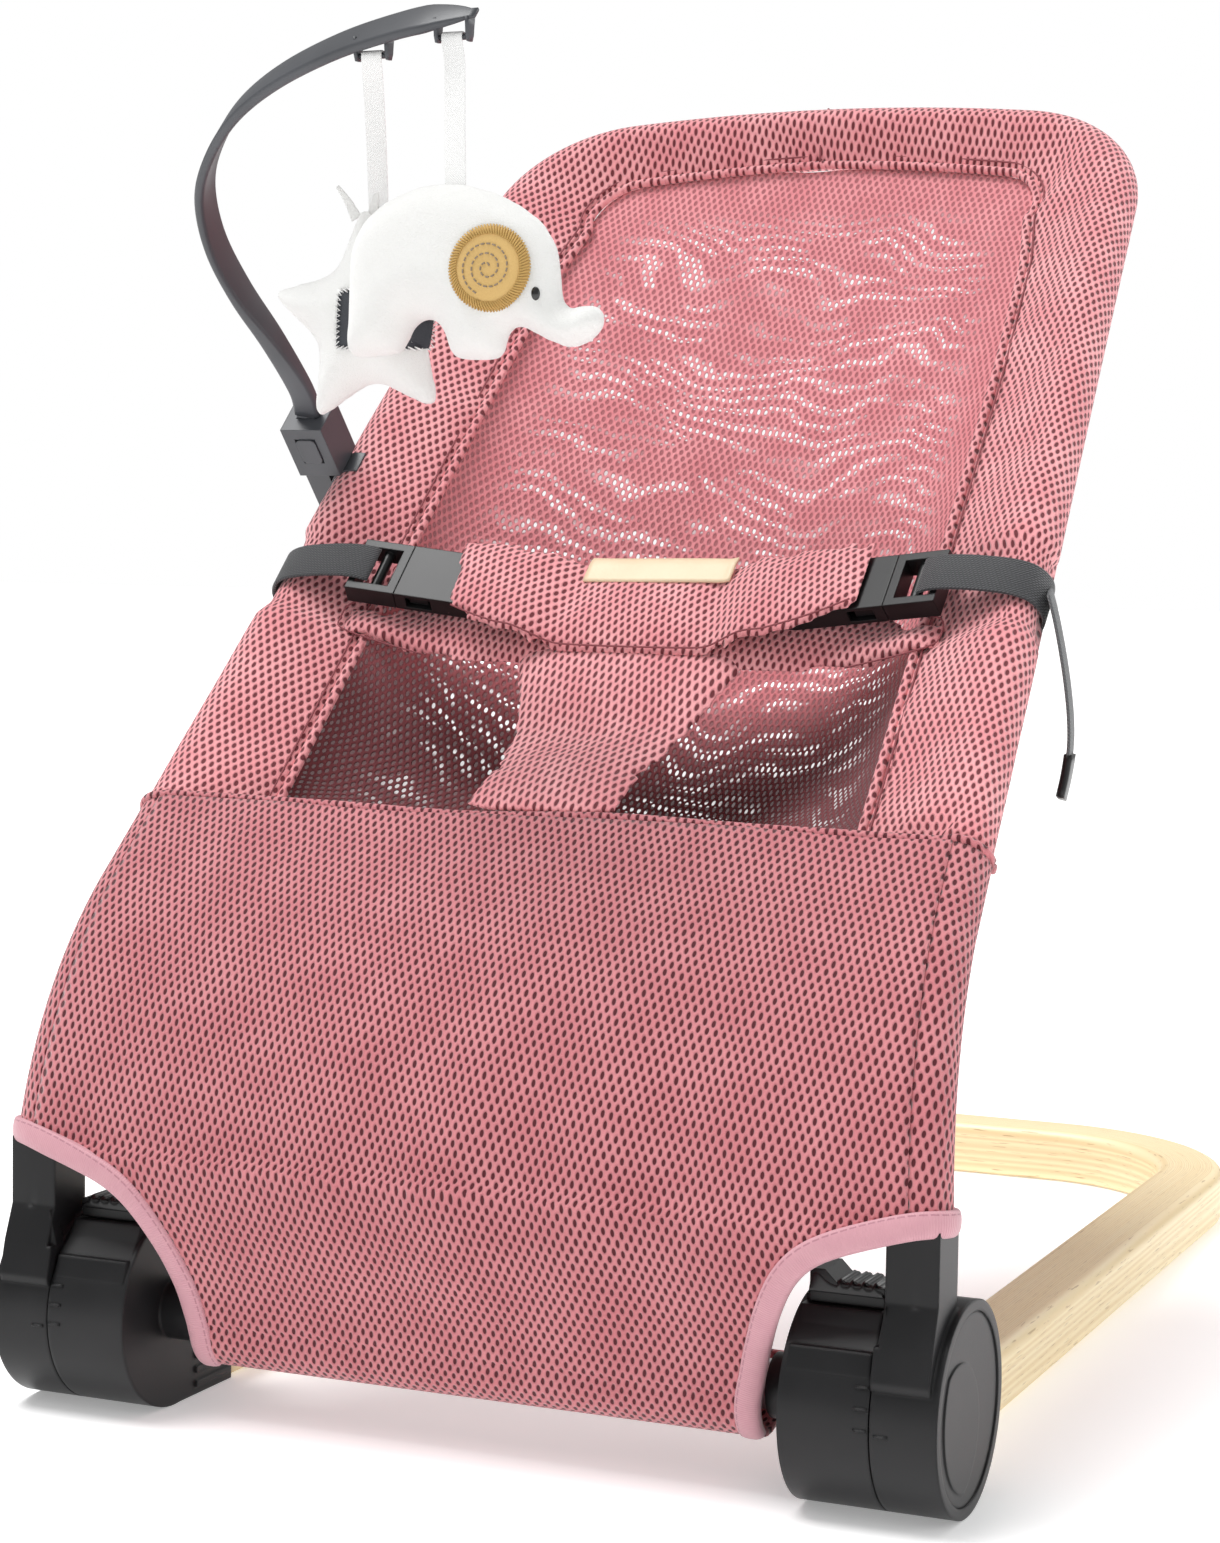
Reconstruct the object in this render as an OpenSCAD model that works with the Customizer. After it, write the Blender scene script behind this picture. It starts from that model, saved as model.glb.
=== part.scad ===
// Baby bouncer seat: a mesh seat on a bent tube frame that reclines and folds on two
// round hub hinges, over a U-shaped wooden bow, with a buckled belt and a toy bar.
// Millimetres. Geometry is written from the hub axis (x across, y to the back, z up)
// and placed so that the origin is the middle of the footprint on the floor.

/* [Hubs] */
// Diameter of the round hub housings, which stand on the floor
hub_d = 81; // [79:0.5:84]
// Distance between the outer faces of the two hubs
overall_w = 400; // [396:1:410]
// Width of the outer half of a hub, which turns with the seat
outer_half_w = 25.4; // [25:0.2:27]
// Width of the inner half of a hub, which holds the bow
inner_half_w = 35; // [34:0.5:37]
// Free gap between the two halves of a hub
hub_gap = 0.6; // [0.4:0.1:1]

/* [Wooden bow] */
// Width of the bow section
bow_w = 34; // [32:1:36]
// Height of the bow section
bow_h = 28; // [26:1:30]
// Distance from the hub axis to the back of the bow
bow_back = 643.5; // [620:0.5:660]
// Radius of the bow's corners at the middle of the section
bow_bend_r = 97; // [85:1:110]
// Radius of the rounded edges of the section
bow_edge_r = 7; // [4:1:9]

/* [Seat frame] */
// Slope of the back frame from level
back_angle = 44; // [42:1:48]
// Slope of the frame where it leaves the hub arms
arm_angle = 86; // [84:1:88]
// Radius of the side bend between arm and back
side_bend_r = 165; // [155:1:175]
// Outer diameter of the frame tube
tube_d = 15; // [14:0.5:15.5]
// Wall of the frame tube
tube_wall = 1.2; // [1:0.1:1.5]
// Half width of the frame at the front seam
frame_half_w = 176.5; // [175:0.5:178]
// Narrowing of each side towards the top, per millimetre of length
side_taper = 0.059; // [0.055:0.001:0.063]
// Length of the straight sides above the side bend
side_len = 434; // [420:1:445]
// Radius of the top corners
top_corner_r = 58; // [54:1:62]

/* [Cover] */
// Outer radius of the padded sleeve around the tube
sleeve_r = 10.5; // [10:0.25:11]
// Deepest sag of the sling below the frame
sling_sag = 72; // [50:1:80]
// Thickness of the sling mesh
sling_t = 2; // [1.5:0.25:3]
// Thickness of the leg panel
panel_t = 3; // [2.5:0.25:3.5]

/* [Belt] */
// Width of the belt webbing
web_w = 20; // [19:1:22]
// Width of a buckle
buckle_w = 30; // [29:1:33]
// Rise of the buckles outward from the back frame, in degrees
buckle_tilt = 9.5; // [8:0.5:11]

/* [Toy bar] */
// Position of the toy bar clip along the frame side
clip_s = 243; // [235:1:250]

/* [Hidden] */
$fn = 64;

// Hub
hub_r = hub_d / 2;
outer_x = overall_w / 2;
parting_x = outer_x - outer_half_w;
inner_out_x = parting_x - hub_gap;
inner_x = inner_out_x - inner_half_w;
rail_y = [-15.5, -1.5];
rail_top = hub_r + 40.5;
cap_r = 36;
cap_recess = 2.6;
lock_r = 26;
lock_teeth = 32;
lock_tooth_h = 2.4;
lock_len = 15;
lock_reach = 4.4;
lock_x = parting_x + lock_reach - lock_len;
cavity_r = 28;
cavity_x = inner_x + 6;
spline_x = inner_out_x - 16;
bolt_r = 4;
bolt_head_r = 7.5;
bolt_clear = 0.05;
nut_af = 13;
stem_x = lock_x + 1;
stem_y = [-10.5, -6.5];
boss_r = 12.5;
boss_len = 15;
cross_r = 9.5;
cross_wall = 1.2;
pocket_gap = 0.2;

// Place of the model: the origin is the middle of the footprint
shift_y = (bow_back - hub_r) / 2;

// Bow
bow_mid_x = inner_out_x - 1 - bow_w / 2;
socket_end = 46;
tenon_w = 26;
tenon_h = 20;
tenon_start = 26;
bow_screw_y = [31, 40];
pad_size = [36, 14, 2];
bow_bend_y = bow_back - bow_w / 2 - bow_bend_r;

// Frame
bend_y = 28;
bend_z = 212;
tube_r = tube_d / 2;
bend_len = side_bend_r * (arm_angle - back_angle) * PI / 180;
corner_from = 90 + atan(side_taper);
corner_to = 172;
corner_turn = corner_to - corner_from;
corner_len = top_corner_r * corner_turn * PI / 180;
corner_x = frame_half_w - side_taper * side_len;
corner_end = [
    corner_x + top_corner_r * (sin(corner_to) - sin(corner_from)),
    side_len + top_corner_r * (cos(corner_from) - cos(corner_to))
];
crown_r = corner_end[0] / sin(180 - corner_to);
crown_len = crown_r * (180 - corner_to) * PI / 180;
u_half = side_len + corner_len + crown_len;
arm_top = 112;
foot_top = hub_r + 29;
arm_x = [176.6, 196.8];
arm_y = [-31.5, -9];
seam_s = 36;
joint_s = 30;
swage_len = 30;
swage_gap = 0.25;

// Inner edge of the border: distance in from the tube, by length along the frame
border_tail = [
    [0, 45], [50, 43], [200, 38.5], [330, 35], [400, 35],
    [434, 39], [474, 31], [514, 21], [615, 17]
];

// Belt, measured from the plane of the back frame
belt_s = 177;
pad_o = -12;
pad_t = 4;
flap_t = 4;
ply_gap = 0.4;
buckle_t = 9;
buckle_in = 62;
female_len = 53;
buckle_wall = 1.6;
prong_reach = 15;
ladder_len = 23;
web_t = 1.6;

// Toy bar outline: across the seat and out from the back frame, from clip to tip
bar_line = [
    [-175.5, 43.4], [-173, 58], [-178, 87], [-183, 115], [-184, 143], [-178, 170],
    [-165, 191], [-145, 211], [-119, 227], [-87, 240], [-57, 248], [-38, 251], [-22, 252]
];
hook_elephant_x = -32;
hook_star_x = -70;
hook_half_w = 6.9;
hook_drop = 8.5;
hook_pin_r = 1.2;
elephant_y = 17;
star_y = 50;
elephant_half = 16;
star_half = 14;

plastic = [0.21, 0.21, 0.22];
black = [0.06, 0.06, 0.065];
steel = [0.72, 0.73, 0.75];
oak = [0.86, 0.72, 0.48];
rose = [0.84, 0.50, 0.54];
rose_dark = [0.74, 0.42, 0.47];
rose_light = [0.88, 0.58, 0.62];
web_grey = [0.27, 0.28, 0.29];
bar_grey = [0.35, 0.355, 0.375];
cream = [0.86, 0.78, 0.66];
plush = [0.93, 0.93, 0.92];
tan_felt = [0.85, 0.70, 0.42];

// ---------- helpers ----------

// Puts a solid written from the hub axis into the object's own frame
module place() {
    translate([0, -shift_y, 0])
    children();
}

// A solid written for the right side, or its mirror image on the left
module sided(side) {
    mirror([side < 0 ? 1 : 0, 0, 0])
    children();
}

// A cylinder along X from x0 to x1, centred on the hub axis
module x_cyl(x0, x1, r) {
    translate([x0, 0, hub_r])
    rotate([0, 90, 0])
    cylinder(h = x1 - x0, r = r);
}

// A box from its low corner to its high corner
module span(lo, hi) {
    translate(lo)
    cube(hi - lo);
}

// A rectangle with round corners, centred, built from exact shapes
module round_rect(w, h, r) {
    square([w - 2 * r, h], center = true);
    square([w, h - 2 * r], center = true);
    for (sx = [-1, 1], sy = [-1, 1])
        translate([sx * (w / 2 - r), sy * (h / 2 - r)])
        circle(r = r, $fn = 32);
}

// Solids written as [x across, s up the back, o out of the back]
module in_back() {
    translate([0, bend_y, bend_z])
    rotate([back_angle, 0, 0])
    children();
}

function unit(v) = v / norm(v);
function smooth(t) = let (c = min(max(t, 0), 1)) c * c * (3 - 2 * c);
function lerp(a, b, t) = a + (b - a) * t;

// Slope of the frame side at length s; s = 0 is the upper end of the side bend
function side_slope(s) = min(arm_angle, back_angle - min(s, 0) / side_bend_r * 180 / PI);
function below_bend(s) = min(s + bend_len, 0);
arm_flare = 0.02;
function side_half_w(s) = frame_half_w - side_taper * s - arm_flare * min(s, 0);

// A point beside the frame: x across, s along the side, o out of the front
function side_pt(x, s, o) = let (a = side_slope(s), low = below_bend(s)) [
    x,
    bend_y - side_bend_r * (sin(a) - sin(back_angle)) + max(s, 0) * cos(back_angle)
        + low * cos(arm_angle) - o * sin(a),
    bend_z - side_bend_r * (cos(back_angle) - cos(a)) + max(s, 0) * sin(back_angle)
        + low * sin(arm_angle) + o * cos(a)
];

// The right half of the back frame in its own plane, by length t from the side bend
function u_right(t) =
    t <= side_len ? [side_half_w(t), t]
    : t <= side_len + corner_len ?
        let (a = corner_from + (t - side_len) / top_corner_r * 180 / PI)
        [corner_x + top_corner_r * (sin(a) - sin(corner_from)),
         side_len + top_corner_r * (cos(corner_from) - cos(a))]
    : let (a = corner_to + (t - side_len - corner_len) / crown_r * 180 / PI)
        [corner_end[0] + crown_r * (sin(a) - sin(corner_to)),
         corner_end[1] + crown_r * (cos(corner_to) - cos(a))];
function u_stops(t0) = concat(
    [for (i = [0 : 7]) lerp(t0, side_len, i / 8)],
    [for (i = [0 : 8]) side_len + corner_len * i / 8],
    [for (i = [1 : 4]) side_len + corner_len + crown_len * i / 4]
);
function u_point(t) = let (p = u_right(t)) side_pt(p[0], p[1], 0);
function flip_x(p) = [-p[0], p[1], p[2]];
function u_path(t0) = let (half = [for (t = u_stops(t0)) u_point(t)]) concat(
    half,
    [for (i = [len(half) - 2 : -1 : 0]) flip_x(half[i])]
);
back_normal = [0, -sin(back_angle), cos(back_angle)];
back_up = [0, cos(back_angle), sin(back_angle)];

function circle_pts(r, n) = [for (i = [0 : n - 1]) r * [cos(i * 360 / n), sin(i * 360 / n)]];
function tangent(path, i) =
    unit(path[min(i + 1, len(path) - 1)] - path[max(i - 1, 0)]);
// Rings of a section carried along a path; the section's first axis stays near ref
function rings(path, sections, ref) = [
    for (i = [0 : len(path) - 1])
        let (t = tangent(path, i), n = unit(ref - (ref * t) * t), b = cross(t, n))
        [for (p = sections[i]) path[i] + n * p[0] + b * p[1]]
];
function flat(l) = [for (a = l) for (b = a) b];
function wall_faces(m, k, first) = [
    for (i = [0 : m - 2], j = [0 : k - 1])
        let (a = first + i * k + j, b = first + i * k + (j + 1) % k)
        each [[a, b, b + k], [a, b + k, a + k]]
];
function flipped(faces) = [for (f = faces) [f[2], f[1], f[0]]];

// A closed solid through rings of equal length
module loft(rs) {
    m = len(rs);
    k = len(rs[0]);
    polyhedron(
        points = flat(rs),
        faces = concat(
            wall_faces(m, k, 0),
            [[for (j = [k - 1 : -1 : 0]) j]],
            [[for (j = [0 : k - 1]) (m - 1) * k + j]]
        ),
        convexity = 10
    );
}

// A pipe: outer rings and inner rings of equal count, joined at both ends
module pipe(outer, inner) {
    m = len(outer);
    k = len(outer[0]);
    base = m * k;
    ends = [for (j = [0 : k - 1]) let (q = (j + 1) % k)
        each [
            [j, base + j, base + q], [j, base + q, q],
            [base - k + q, 2 * base - k + q, 2 * base - k + j],
            [base - k + q, 2 * base - k + j, base - k + j]
        ]];
    polyhedron(
        points = concat(flat(outer), flat(inner)),
        faces = concat(wall_faces(m, k, 0), flipped(wall_faces(m, k, base)), ends),
        convexity = 10
    );
}

// A sheet with thickness, from a grid of front points and a grid of back points
module sheet(front, back) {
    rs = [for (i = [0 : len(front) - 1]) concat(
        front[i],
        [for (j = [len(back[i]) - 1 : -1 : 0]) back[i][j]]
    )];
    m = len(rs);
    k = len(rs[0]);
    c = k / 2;
    cap = [for (j = [0 : c - 2]) each [[j, k - 1 - j, k - 2 - j], [j, k - 2 - j, j + 1]]];
    far = [for (f = cap) [for (v = [2 : -1 : 0]) f[v] + (m - 1) * k]];
    polyhedron(
        points = flat(rs),
        faces = concat(flipped(wall_faces(m, k, 0)), flipped(far), flipped(cap)),
        convexity = 10
    );
}

function tube_sections(n_rings, r, n) = [for (i = [1 : n_rings]) circle_pts(r, n)];

// Outline of a ring with straight-sided teeth
function gear_pts(r, h, n) = [
    for (i = [0 : n - 1], q = [0, 1, 2, 3])
        let (a = (i + [-0.34, -0.16, 0.16, 0.34][q]) * 360 / n, d = q == 1 || q == 2 ? r : r - h)
        d * [cos(a), sin(a)]
];

// ---------- base ----------

module bow_section() {
    round_rect(bow_w, bow_h, bow_edge_r);
}

module base_bow() {
    place() color(oak) difference() {
        bow_blank();
        bow_pad_shapes(0.2);
    }
}

module bow_blank() {
    leg_len = bow_bend_y - socket_end;
    bar_half = bow_mid_x - bow_bend_r;
    translate([0, 0, bow_h / 2]) {
        for (sx = [-1, 1]) {
            translate([sx * bow_mid_x, bow_bend_y, 0])
            rotate([90, 0, 0])
            linear_extrude(leg_len)
            bow_section();
            translate([sx * bow_mid_x - tenon_w / 2, tenon_start, -tenon_h / 2])
            cube([tenon_w, socket_end - tenon_start + 1, tenon_h]);
            translate([sx * bar_half, bow_bend_y, 0])
            rotate([0, 0, sx > 0 ? 0 : 90])
            rotate_extrude(angle = 90)
            translate([bow_bend_r, 0])
            bow_section();
        }
        translate([-bar_half, bow_bend_y + bow_bend_r, 0])
        rotate([90, 0, 90])
        linear_extrude(2 * bar_half)
        bow_section();
    }
}

// Fixed half of a hub: drum, socket for the bow, boss for the cross tube, slide rail
module inner_housing(side) {
    wood_lo = bow_mid_x - bow_w / 2;
    wood_hi = bow_mid_x + bow_w / 2;
    place() color(plastic) sided(side) difference() {
        union() {
            x_cyl(inner_x, inner_out_x, hub_r);
            x_cyl(inner_x - boss_len, inner_x + 1, boss_r);
            span([wood_lo, 0, 0.2], [wood_hi, socket_end - 0.1, bow_h]);
            for (i = [0 : 3])
                span([wood_lo - 1, 16, 3.5 + 6 * i], [wood_lo + 1, socket_end - 2, 6 + 6 * i]);
            // stepped shelf and rail of the release slide
            translate([inner_x + 2, 0, hub_r])
            rotate([90, 0, 90])
            linear_extrude(inner_out_x - inner_x - 3)
            polygon([[-37, 17], [-34, 25.5], [-31.5, 25.5], [-26, 32], [-22, 38], [4, 38], [4, 20]]);
            span([inner_x + 2, rail_y[0], hub_r + 37], [inner_out_x - 3, rail_y[1], rail_top]);
        }
        x_cyl(cavity_x, spline_x + 0.1, cavity_r);
        translate([spline_x, 0, hub_r])
        rotate([0, 90, 0])
        linear_extrude(inner_out_x - spline_x + 1)
        polygon(gear_pts(lock_r + pocket_gap, lock_tooth_h, lock_teeth));
        x_cyl(inner_x - boss_len - 1, inner_x, cross_r + 0.05);
        x_cyl(inner_x - 1, cavity_x + 1, bolt_r + bolt_clear);
        // tenon pocket, stopped short of the lock cavity
        span([bow_mid_x - tenon_w / 2 - pocket_gap, tenon_start - 0.5,
              (bow_h - tenon_h) / 2 - pocket_gap],
             [bow_mid_x + tenon_w / 2 + pocket_gap, socket_end + 1,
              (bow_h + tenon_h) / 2 + pocket_gap]);
        // groove for the rear skirt of the release slide
        span([inner_x - 1, rail_y[1] + 0.1, hub_r + 38], [inner_out_x - 1.5, rail_y[1] + 3, hub_r + 50]);
        // slot for the stem of the release slide
        span([stem_x - 5.6, stem_y[0] - 0.7, hub_r + 20], [stem_x + 3.6, stem_y[1] + 0.7, hub_r + 50]);
        // countersunk screw holes into the bow
        for (y = bow_screw_y) {
            translate([bow_mid_x, y, -1])
            cylinder(h = 12, r = 2.1, $fn = 24);
            translate([bow_mid_x, y, -1])
            cylinder(h = 3.4, r = 4);
        }
    }
}

module cross_tube() {
    reach = inner_x - 0.5;
    place() color(steel) difference() {
        x_cyl(-reach, reach, cross_r);
        x_cyl(-reach - 1, reach + 1, cross_r - cross_wall);
    }
}

module hub_bolts() {
    place() color(steel) for (side = [-1, 1]) sided(side) {
        x_cyl(inner_x + 0.5, outer_x - 9, bolt_r);
        difference() {
            x_cyl(outer_x - 9, outer_x - 4, bolt_head_r);
            translate([outer_x - 6.5, 0, hub_r])
            rotate([0, 90, 0])
            cylinder(h = 3, r = 2.9, $fn = 6);
        }
    }
}

module hub_nuts() {
    place() color(steel) for (side = [-1, 1]) sided(side) difference() {
        translate([cavity_x + 0.1, 0, hub_r])
        rotate([0, 90, 0])
        cylinder(h = 6, r = nut_af / 2 / cos(30), $fn = 6);
        x_cyl(cavity_x, cavity_x + 7, bolt_r + bolt_clear);
    }
}

module bow_screws() {
    place() color(steel) for (sx = [-1, 1], y = bow_screw_y) {
        translate([sx * bow_mid_x, y, 0.4])
        cylinder(h = 12, r = 2, $fn = 24);
        translate([sx * bow_mid_x, y, 0.4])
        cylinder(h = 1.8, r = 3.8);
    }
}

// Two rubber pads let into the underside of the rear bar, or their pockets
module bow_pad_shapes(gap) {
    for (sx = [-1, 1])
        translate([sx * 40, bow_bend_y + bow_bend_r, gap > 0 ? -1 : 0])
        linear_extrude(pad_size[2] + (gap > 0 ? 1 + gap : 0))
        round_rect(pad_size[0] + 2 * gap, pad_size[1] + 2 * gap, 6 + gap);
}

module bow_pads() {
    place() color(black)
    bow_pad_shapes(0);
}

// ---------- release ----------

// Thumb piece that straddles the rail, with a stem down to the lock ring
module release_slider(side) {
    x0 = inner_x + 4;
    x1 = inner_out_x - 2;
    z0 = rail_top + 0.2;
    lo = rail_y[0] - 2.5;
    hi = rail_y[1] + 2.5;
    place() color(black) sided(side) {
        span([x0, lo, z0], [x1, hi, z0 + 5]);
        span([x0, lo, z0 - 2.4], [x1, rail_y[0] - 0.4, z0 + 1]);
        span([x0, rail_y[1] + 0.4, z0 - 2.4], [x1, hi, z0 + 1]);
        span([x0, lo, z0 + 4.9], [x0 + 6, hi, z0 + 10]);
        translate([x0 + 6, hi, z0 + 4.9])
        rotate([90, 0, 0])
        linear_extrude(hi - lo)
        polygon([[-0.1, 0], [5, 0], [-0.1, 5]]);
        for (i = [0 : 2])
            translate([x0 + 12.5 + 4.5 * i, lo + 1, z0 + 5])
            rotate([-90, 0, 0])
            cylinder(h = hi - lo - 2, r = 1.3, $fn = 24);
        span([stem_x, stem_y[0], hub_r + lock_r - 3.8], [stem_x + 3, stem_y[1], z0 + 1]);
    }
}

module lock_ring(side) {
    place() color(steel) sided(side) difference() {
        translate([lock_x, 0, hub_r])
        rotate([0, 90, 0])
        linear_extrude(lock_len)
        polygon(gear_pts(lock_r, lock_tooth_h, lock_teeth));
        x_cyl(lock_x - 1, lock_x + lock_len + 1, 10);
        // groove that the stem of the slide sits in
        difference() {
            x_cyl(lock_x + 0.9, lock_x + 4.1, lock_r + 1);
            x_cyl(lock_x, lock_x + 5, lock_r - 4);
        }
    }
}

module release_spring(side) {
    turns = 4;
    steps = 12;
    r = 14;
    x0 = cavity_x + 1;
    x1 = lock_x - 0.9;
    path = [for (i = [0 : turns * steps])
        let (a = i * 360 / steps)
        [lerp(x0, x1, i / (turns * steps)), r * cos(a), hub_r + r * sin(a)]];
    place() color(steel) sided(side)
    loft(rings(path, tube_sections(len(path), 0.7, 6), [1, 0, 0]));
}

// ---------- moving halves of the hubs ----------

module outer_housing(side) {
    place() color(plastic) sided(side) difference() {
        union() {
            x_cyl(parting_x, outer_x, hub_r);
            // foot of the arm, flush with the parting plane
            arm_plate(parting_x, arm_x[1] - 2.5, foot_top);
            // gusset between foot and arm
            translate([0, arm_y[0] + 4, 0])
            rotate([90, 0, 0])
            linear_extrude(6)
            polygon([[parting_x, foot_top - 1], [arm_x[0] + 1, foot_top - 1],
                     [arm_x[0] + 1, foot_top + 14]]);
            arm_plate(arm_x[0], arm_x[1], arm_top);
        }
        // recess of the cap, pocket of the bolt head and bore of the bolt
        x_cyl(outer_x - cap_recess, outer_x + 1, cap_r + 0.2);
        x_cyl(outer_x - 9.1, outer_x, bolt_head_r + 0.3);
        x_cyl(parting_x - 1, outer_x - 8, bolt_r + bolt_clear);
        // smooth pocket that takes the lock ring
        x_cyl(parting_x - 1, parting_x + 5.2, lock_r + 0.4);
        // bore of the frame tube
        socket_axis(tube_r + 0.2, 30, 3);
        // screw holes
        for (dz = [0, 14]) arm_hole(2.1, dz);
    }
}

// A slice of the arm between two planes across the seat, up to height top
module arm_plate(x0, x1, top) {
    translate([x0, 0, 0])
    rotate([90, 0, 90])
    linear_extrude(x1 - x0)
    intersection() {
        polygon([[-39.5, hub_r + 13.5], [-40.5, hub_r + 16.5], [-37, hub_r + 30],
                 [arm_y[0], hub_r + 44], [arm_y[0], arm_top], [arm_y[1], arm_top],
                 [arm_y[1], hub_r + 10]]);
        translate([-60, 0])
        square([80, top]);
    }
}

// A cylinder along the lower end of the frame tube, from below the arm top to above it
module socket_axis(r, down, up) {
    p = side_pt(side_half_w(-bend_len), -bend_len, 0);
    q = side_pt(side_half_w(-bend_len - 40), -bend_len - 40, 0);
    d = unit(p - q);
    top = p + d * (arm_top - p[2] + up);
    translate(top)
    rotate([0, 0, atan2(d[1], d[0])])
    rotate([0, acos(d[2]), 0])
    translate([0, 0, -down - up])
    cylinder(h = down + up, r = r, $fn = 48);
}

module arm_hole(r, dz) {
    translate([189, arm_y[1] + 1, 90 + dz])
    rotate([90, 0, 0])
    cylinder(h = 12, r = r, $fn = 24);
}

module hub_cap(side) {
    place() color(plastic) sided(side) {
        x_cyl(outer_x - cap_recess + 0.1, outer_x - 0.6, cap_r);
        // raised field with one long curved side
        translate([outer_x - 0.7, 0, hub_r])
        rotate([0, 90, 0])
        linear_extrude(0.7)
        intersection() {
            circle(r = cap_r - 5);
            translate([6, -14])
            circle(r = 26);
        }
    }
}

// ---------- seat frame ----------

function lower_stops() = [for (i = [0 : 14]) lerp(-bend_len - 14, joint_s, i / 14)];

module lower_tube(side) {
    path = [for (s = lower_stops()) side_pt(side_half_w(s), s, 0)];
    place() color(steel) sided(side) difference() {
        pipe(rings(path, tube_sections(len(path), tube_r, 12), [1, 0, 0]),
             rings(path, tube_sections(len(path), tube_r - tube_wall + 0.2, 12), [1, 0, 0]));
        frame_hole(2.1);
    }
}

module frame_hole(r) {
    in_back()
    translate([side_half_w(15), 15, -12])
    cylinder(h = 24, r = r, $fn = 24);
}

module upper_tube() {
    bore = tube_r - tube_wall;
    neck = bore - swage_gap;
    stops = concat([joint_s - swage_len + 4, joint_s + 0.1, joint_s + 0.9], u_stops(joint_s + 24));
    half = [for (t = stops) u_point(t)];
    path = concat(half, [for (i = [len(half) - 2 : -1 : 0]) flip_x(half[i])]);
    m = len(path);
    function is_neck(i) = i < 2 || i > m - 3;
    place() color(steel) difference() {
        pipe(rings(path, [for (i = [0 : m - 1]) circle_pts(is_neck(i) ? neck : tube_r, 12)],
                   back_normal),
             rings(path, [for (i = [0 : m - 1])
                 circle_pts(is_neck(i) ? neck - tube_wall : bore, 12)], back_normal));
        frame_hole(2.1);
        mirror([1, 0, 0]) frame_hole(2.1);
    }
}

module arm_screws() {
    place() color(steel) for (side = [-1, 1], dz = [0, 14]) sided(side) {
        translate([189, arm_y[1] + 0.2, 90 + dz])
        rotate([90, 0, 0])
        cylinder(h = 5.5, r = 2, $fn = 24);
        translate([189, arm_y[1] + 2.2, 90 + dz])
        rotate([90, 0, 0])
        cylinder(h = 2.1, r = 3.6, $fn = 32);
    }
}

module frame_screws() {
    place() color(steel) for (side = [-1, 1]) sided(side) in_back()
    translate([side_half_w(15), 15, 0])
    cylinder(h = 2 * tube_r, r = 2, center = true, $fn = 24);
}

// ---------- cover ----------

// Hem of the leg panel, a tunnel that turns freely on the cross tube
module hem_sleeve() {
    reach = inner_x - boss_len - 2.5;
    place() color(rose_dark) difference() {
        x_cyl(-reach, reach, 18);
        x_cyl(-reach - 1, reach + 1, cross_r + 0.4);
    }
}

// Half width of the leg panel at height z: its lower corners are cut away round the hubs
notch = [[30, 119], [42, 122], [57, 125], [72, 130], [84, 136], [91, 141], [96, 148],
         [101, 157], [105, 172], [108, 182]];

function panel_row(s, o) = let (w = side_half_w(s) + 1)
    [for (c = [-1 : 0.1 : 1.001]) side_pt(w * c, s, o)];
function low_row(z, o) = let (w = lookup(z, notch), y = lerp(-21.5, -37.3, smooth((z - 36) / 62)))
    [for (c = [-1 : 0.1 : 1.001]) [w * c, y + panel_t - o, z]];

module leg_panel() {
    clear = sleeve_r + 0.6;
    low = [42, 57, 72, 84, 91, 96, 101, 105, 108];
    up = [for (i = [0 : 12]) lerp(-bend_len + 6, seam_s - 1, i / 12)];
    front = concat([for (z = low) low_row(z, panel_t)],
                   [for (s = up) panel_row(s, clear + panel_t)]);
    back = concat([for (z = low) low_row(z, 0)], [for (s = up) panel_row(s, clear)]);
    place() color(rose) sheet(front, back);
}

module side_sleeve(side) {
    path = [for (i = [0 : 10]) let (s = lerp(-bend_len + 10, seam_s - 1, i / 10))
        side_pt(side_half_w(s), s, 0)];
    place() color(rose) sided(side)
    pipe(rings(path, tube_sections(len(path), sleeve_r, 16), [1, 0, 0]),
         rings(path, tube_sections(len(path), tube_r + 0.3, 16), [1, 0, 0]));
}

// Section of the border: round over the tube, thinning to the inner seam
function border_section(tail) = concat(
    [for (a = [90 : -22.5 : -90]) sleeve_r * [sin(a), cos(a)]],
    [[-10.4, -tail * 0.25], [-10.3, -tail * 0.5], [-10, -tail * 0.75], [-9, -tail],
     [-5, -tail], [-3.4, -tail * 0.75], [1, -tail * 0.5]]
);
function hole_section(n) = [for (i = [0 : n - 1]) let (a = 90 - i * 360 / n)
    (tube_r + 0.3) * [sin(a), cos(a)]];

module seat_border() {
    stops = u_stops(seam_s + 1);
    all_stops = concat(stops, [for (i = [len(stops) - 2 : -1 : 0]) stops[i]]);
    path = u_path(seam_s + 1);
    place() color(rose)
    pipe(rings(path, [for (t = all_stops) border_section(lookup(t, border_tail))], back_normal),
         rings(path, [for (t = all_stops) hole_section(16)], back_normal));
}

// Half width of the sling at length s up the back: it fills the inner seam of the border
sling_edge = [[36, 130], [60, 129.5], [200, 125.5], [330, 121.3], [396, 117.3], [428, 112],
              [442, 113], [450, 111], [457, 107.5], [463, 102.5], [467, 96], [471, 73], [474, 49]];
sling_depth = [[36, 0], [52, 0.42], [75, 0.78], [105, 0.97], [135, 1], [190, 0.9],
               [270, 0.62], [350, 0.36], [425, 0.14], [474, 0]];

function sling_row(s, o) = let (rim = lerp(10.5, -7.5, smooth((s - 37) / 16))) [
    for (c = [-1 : 0.125 : 1.001])
        side_pt(lookup(s, sling_edge) * c, s,
                o + rim - sling_sag * lookup(s, sling_depth) * pow(1 - c * c, 0.75))
];

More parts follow.
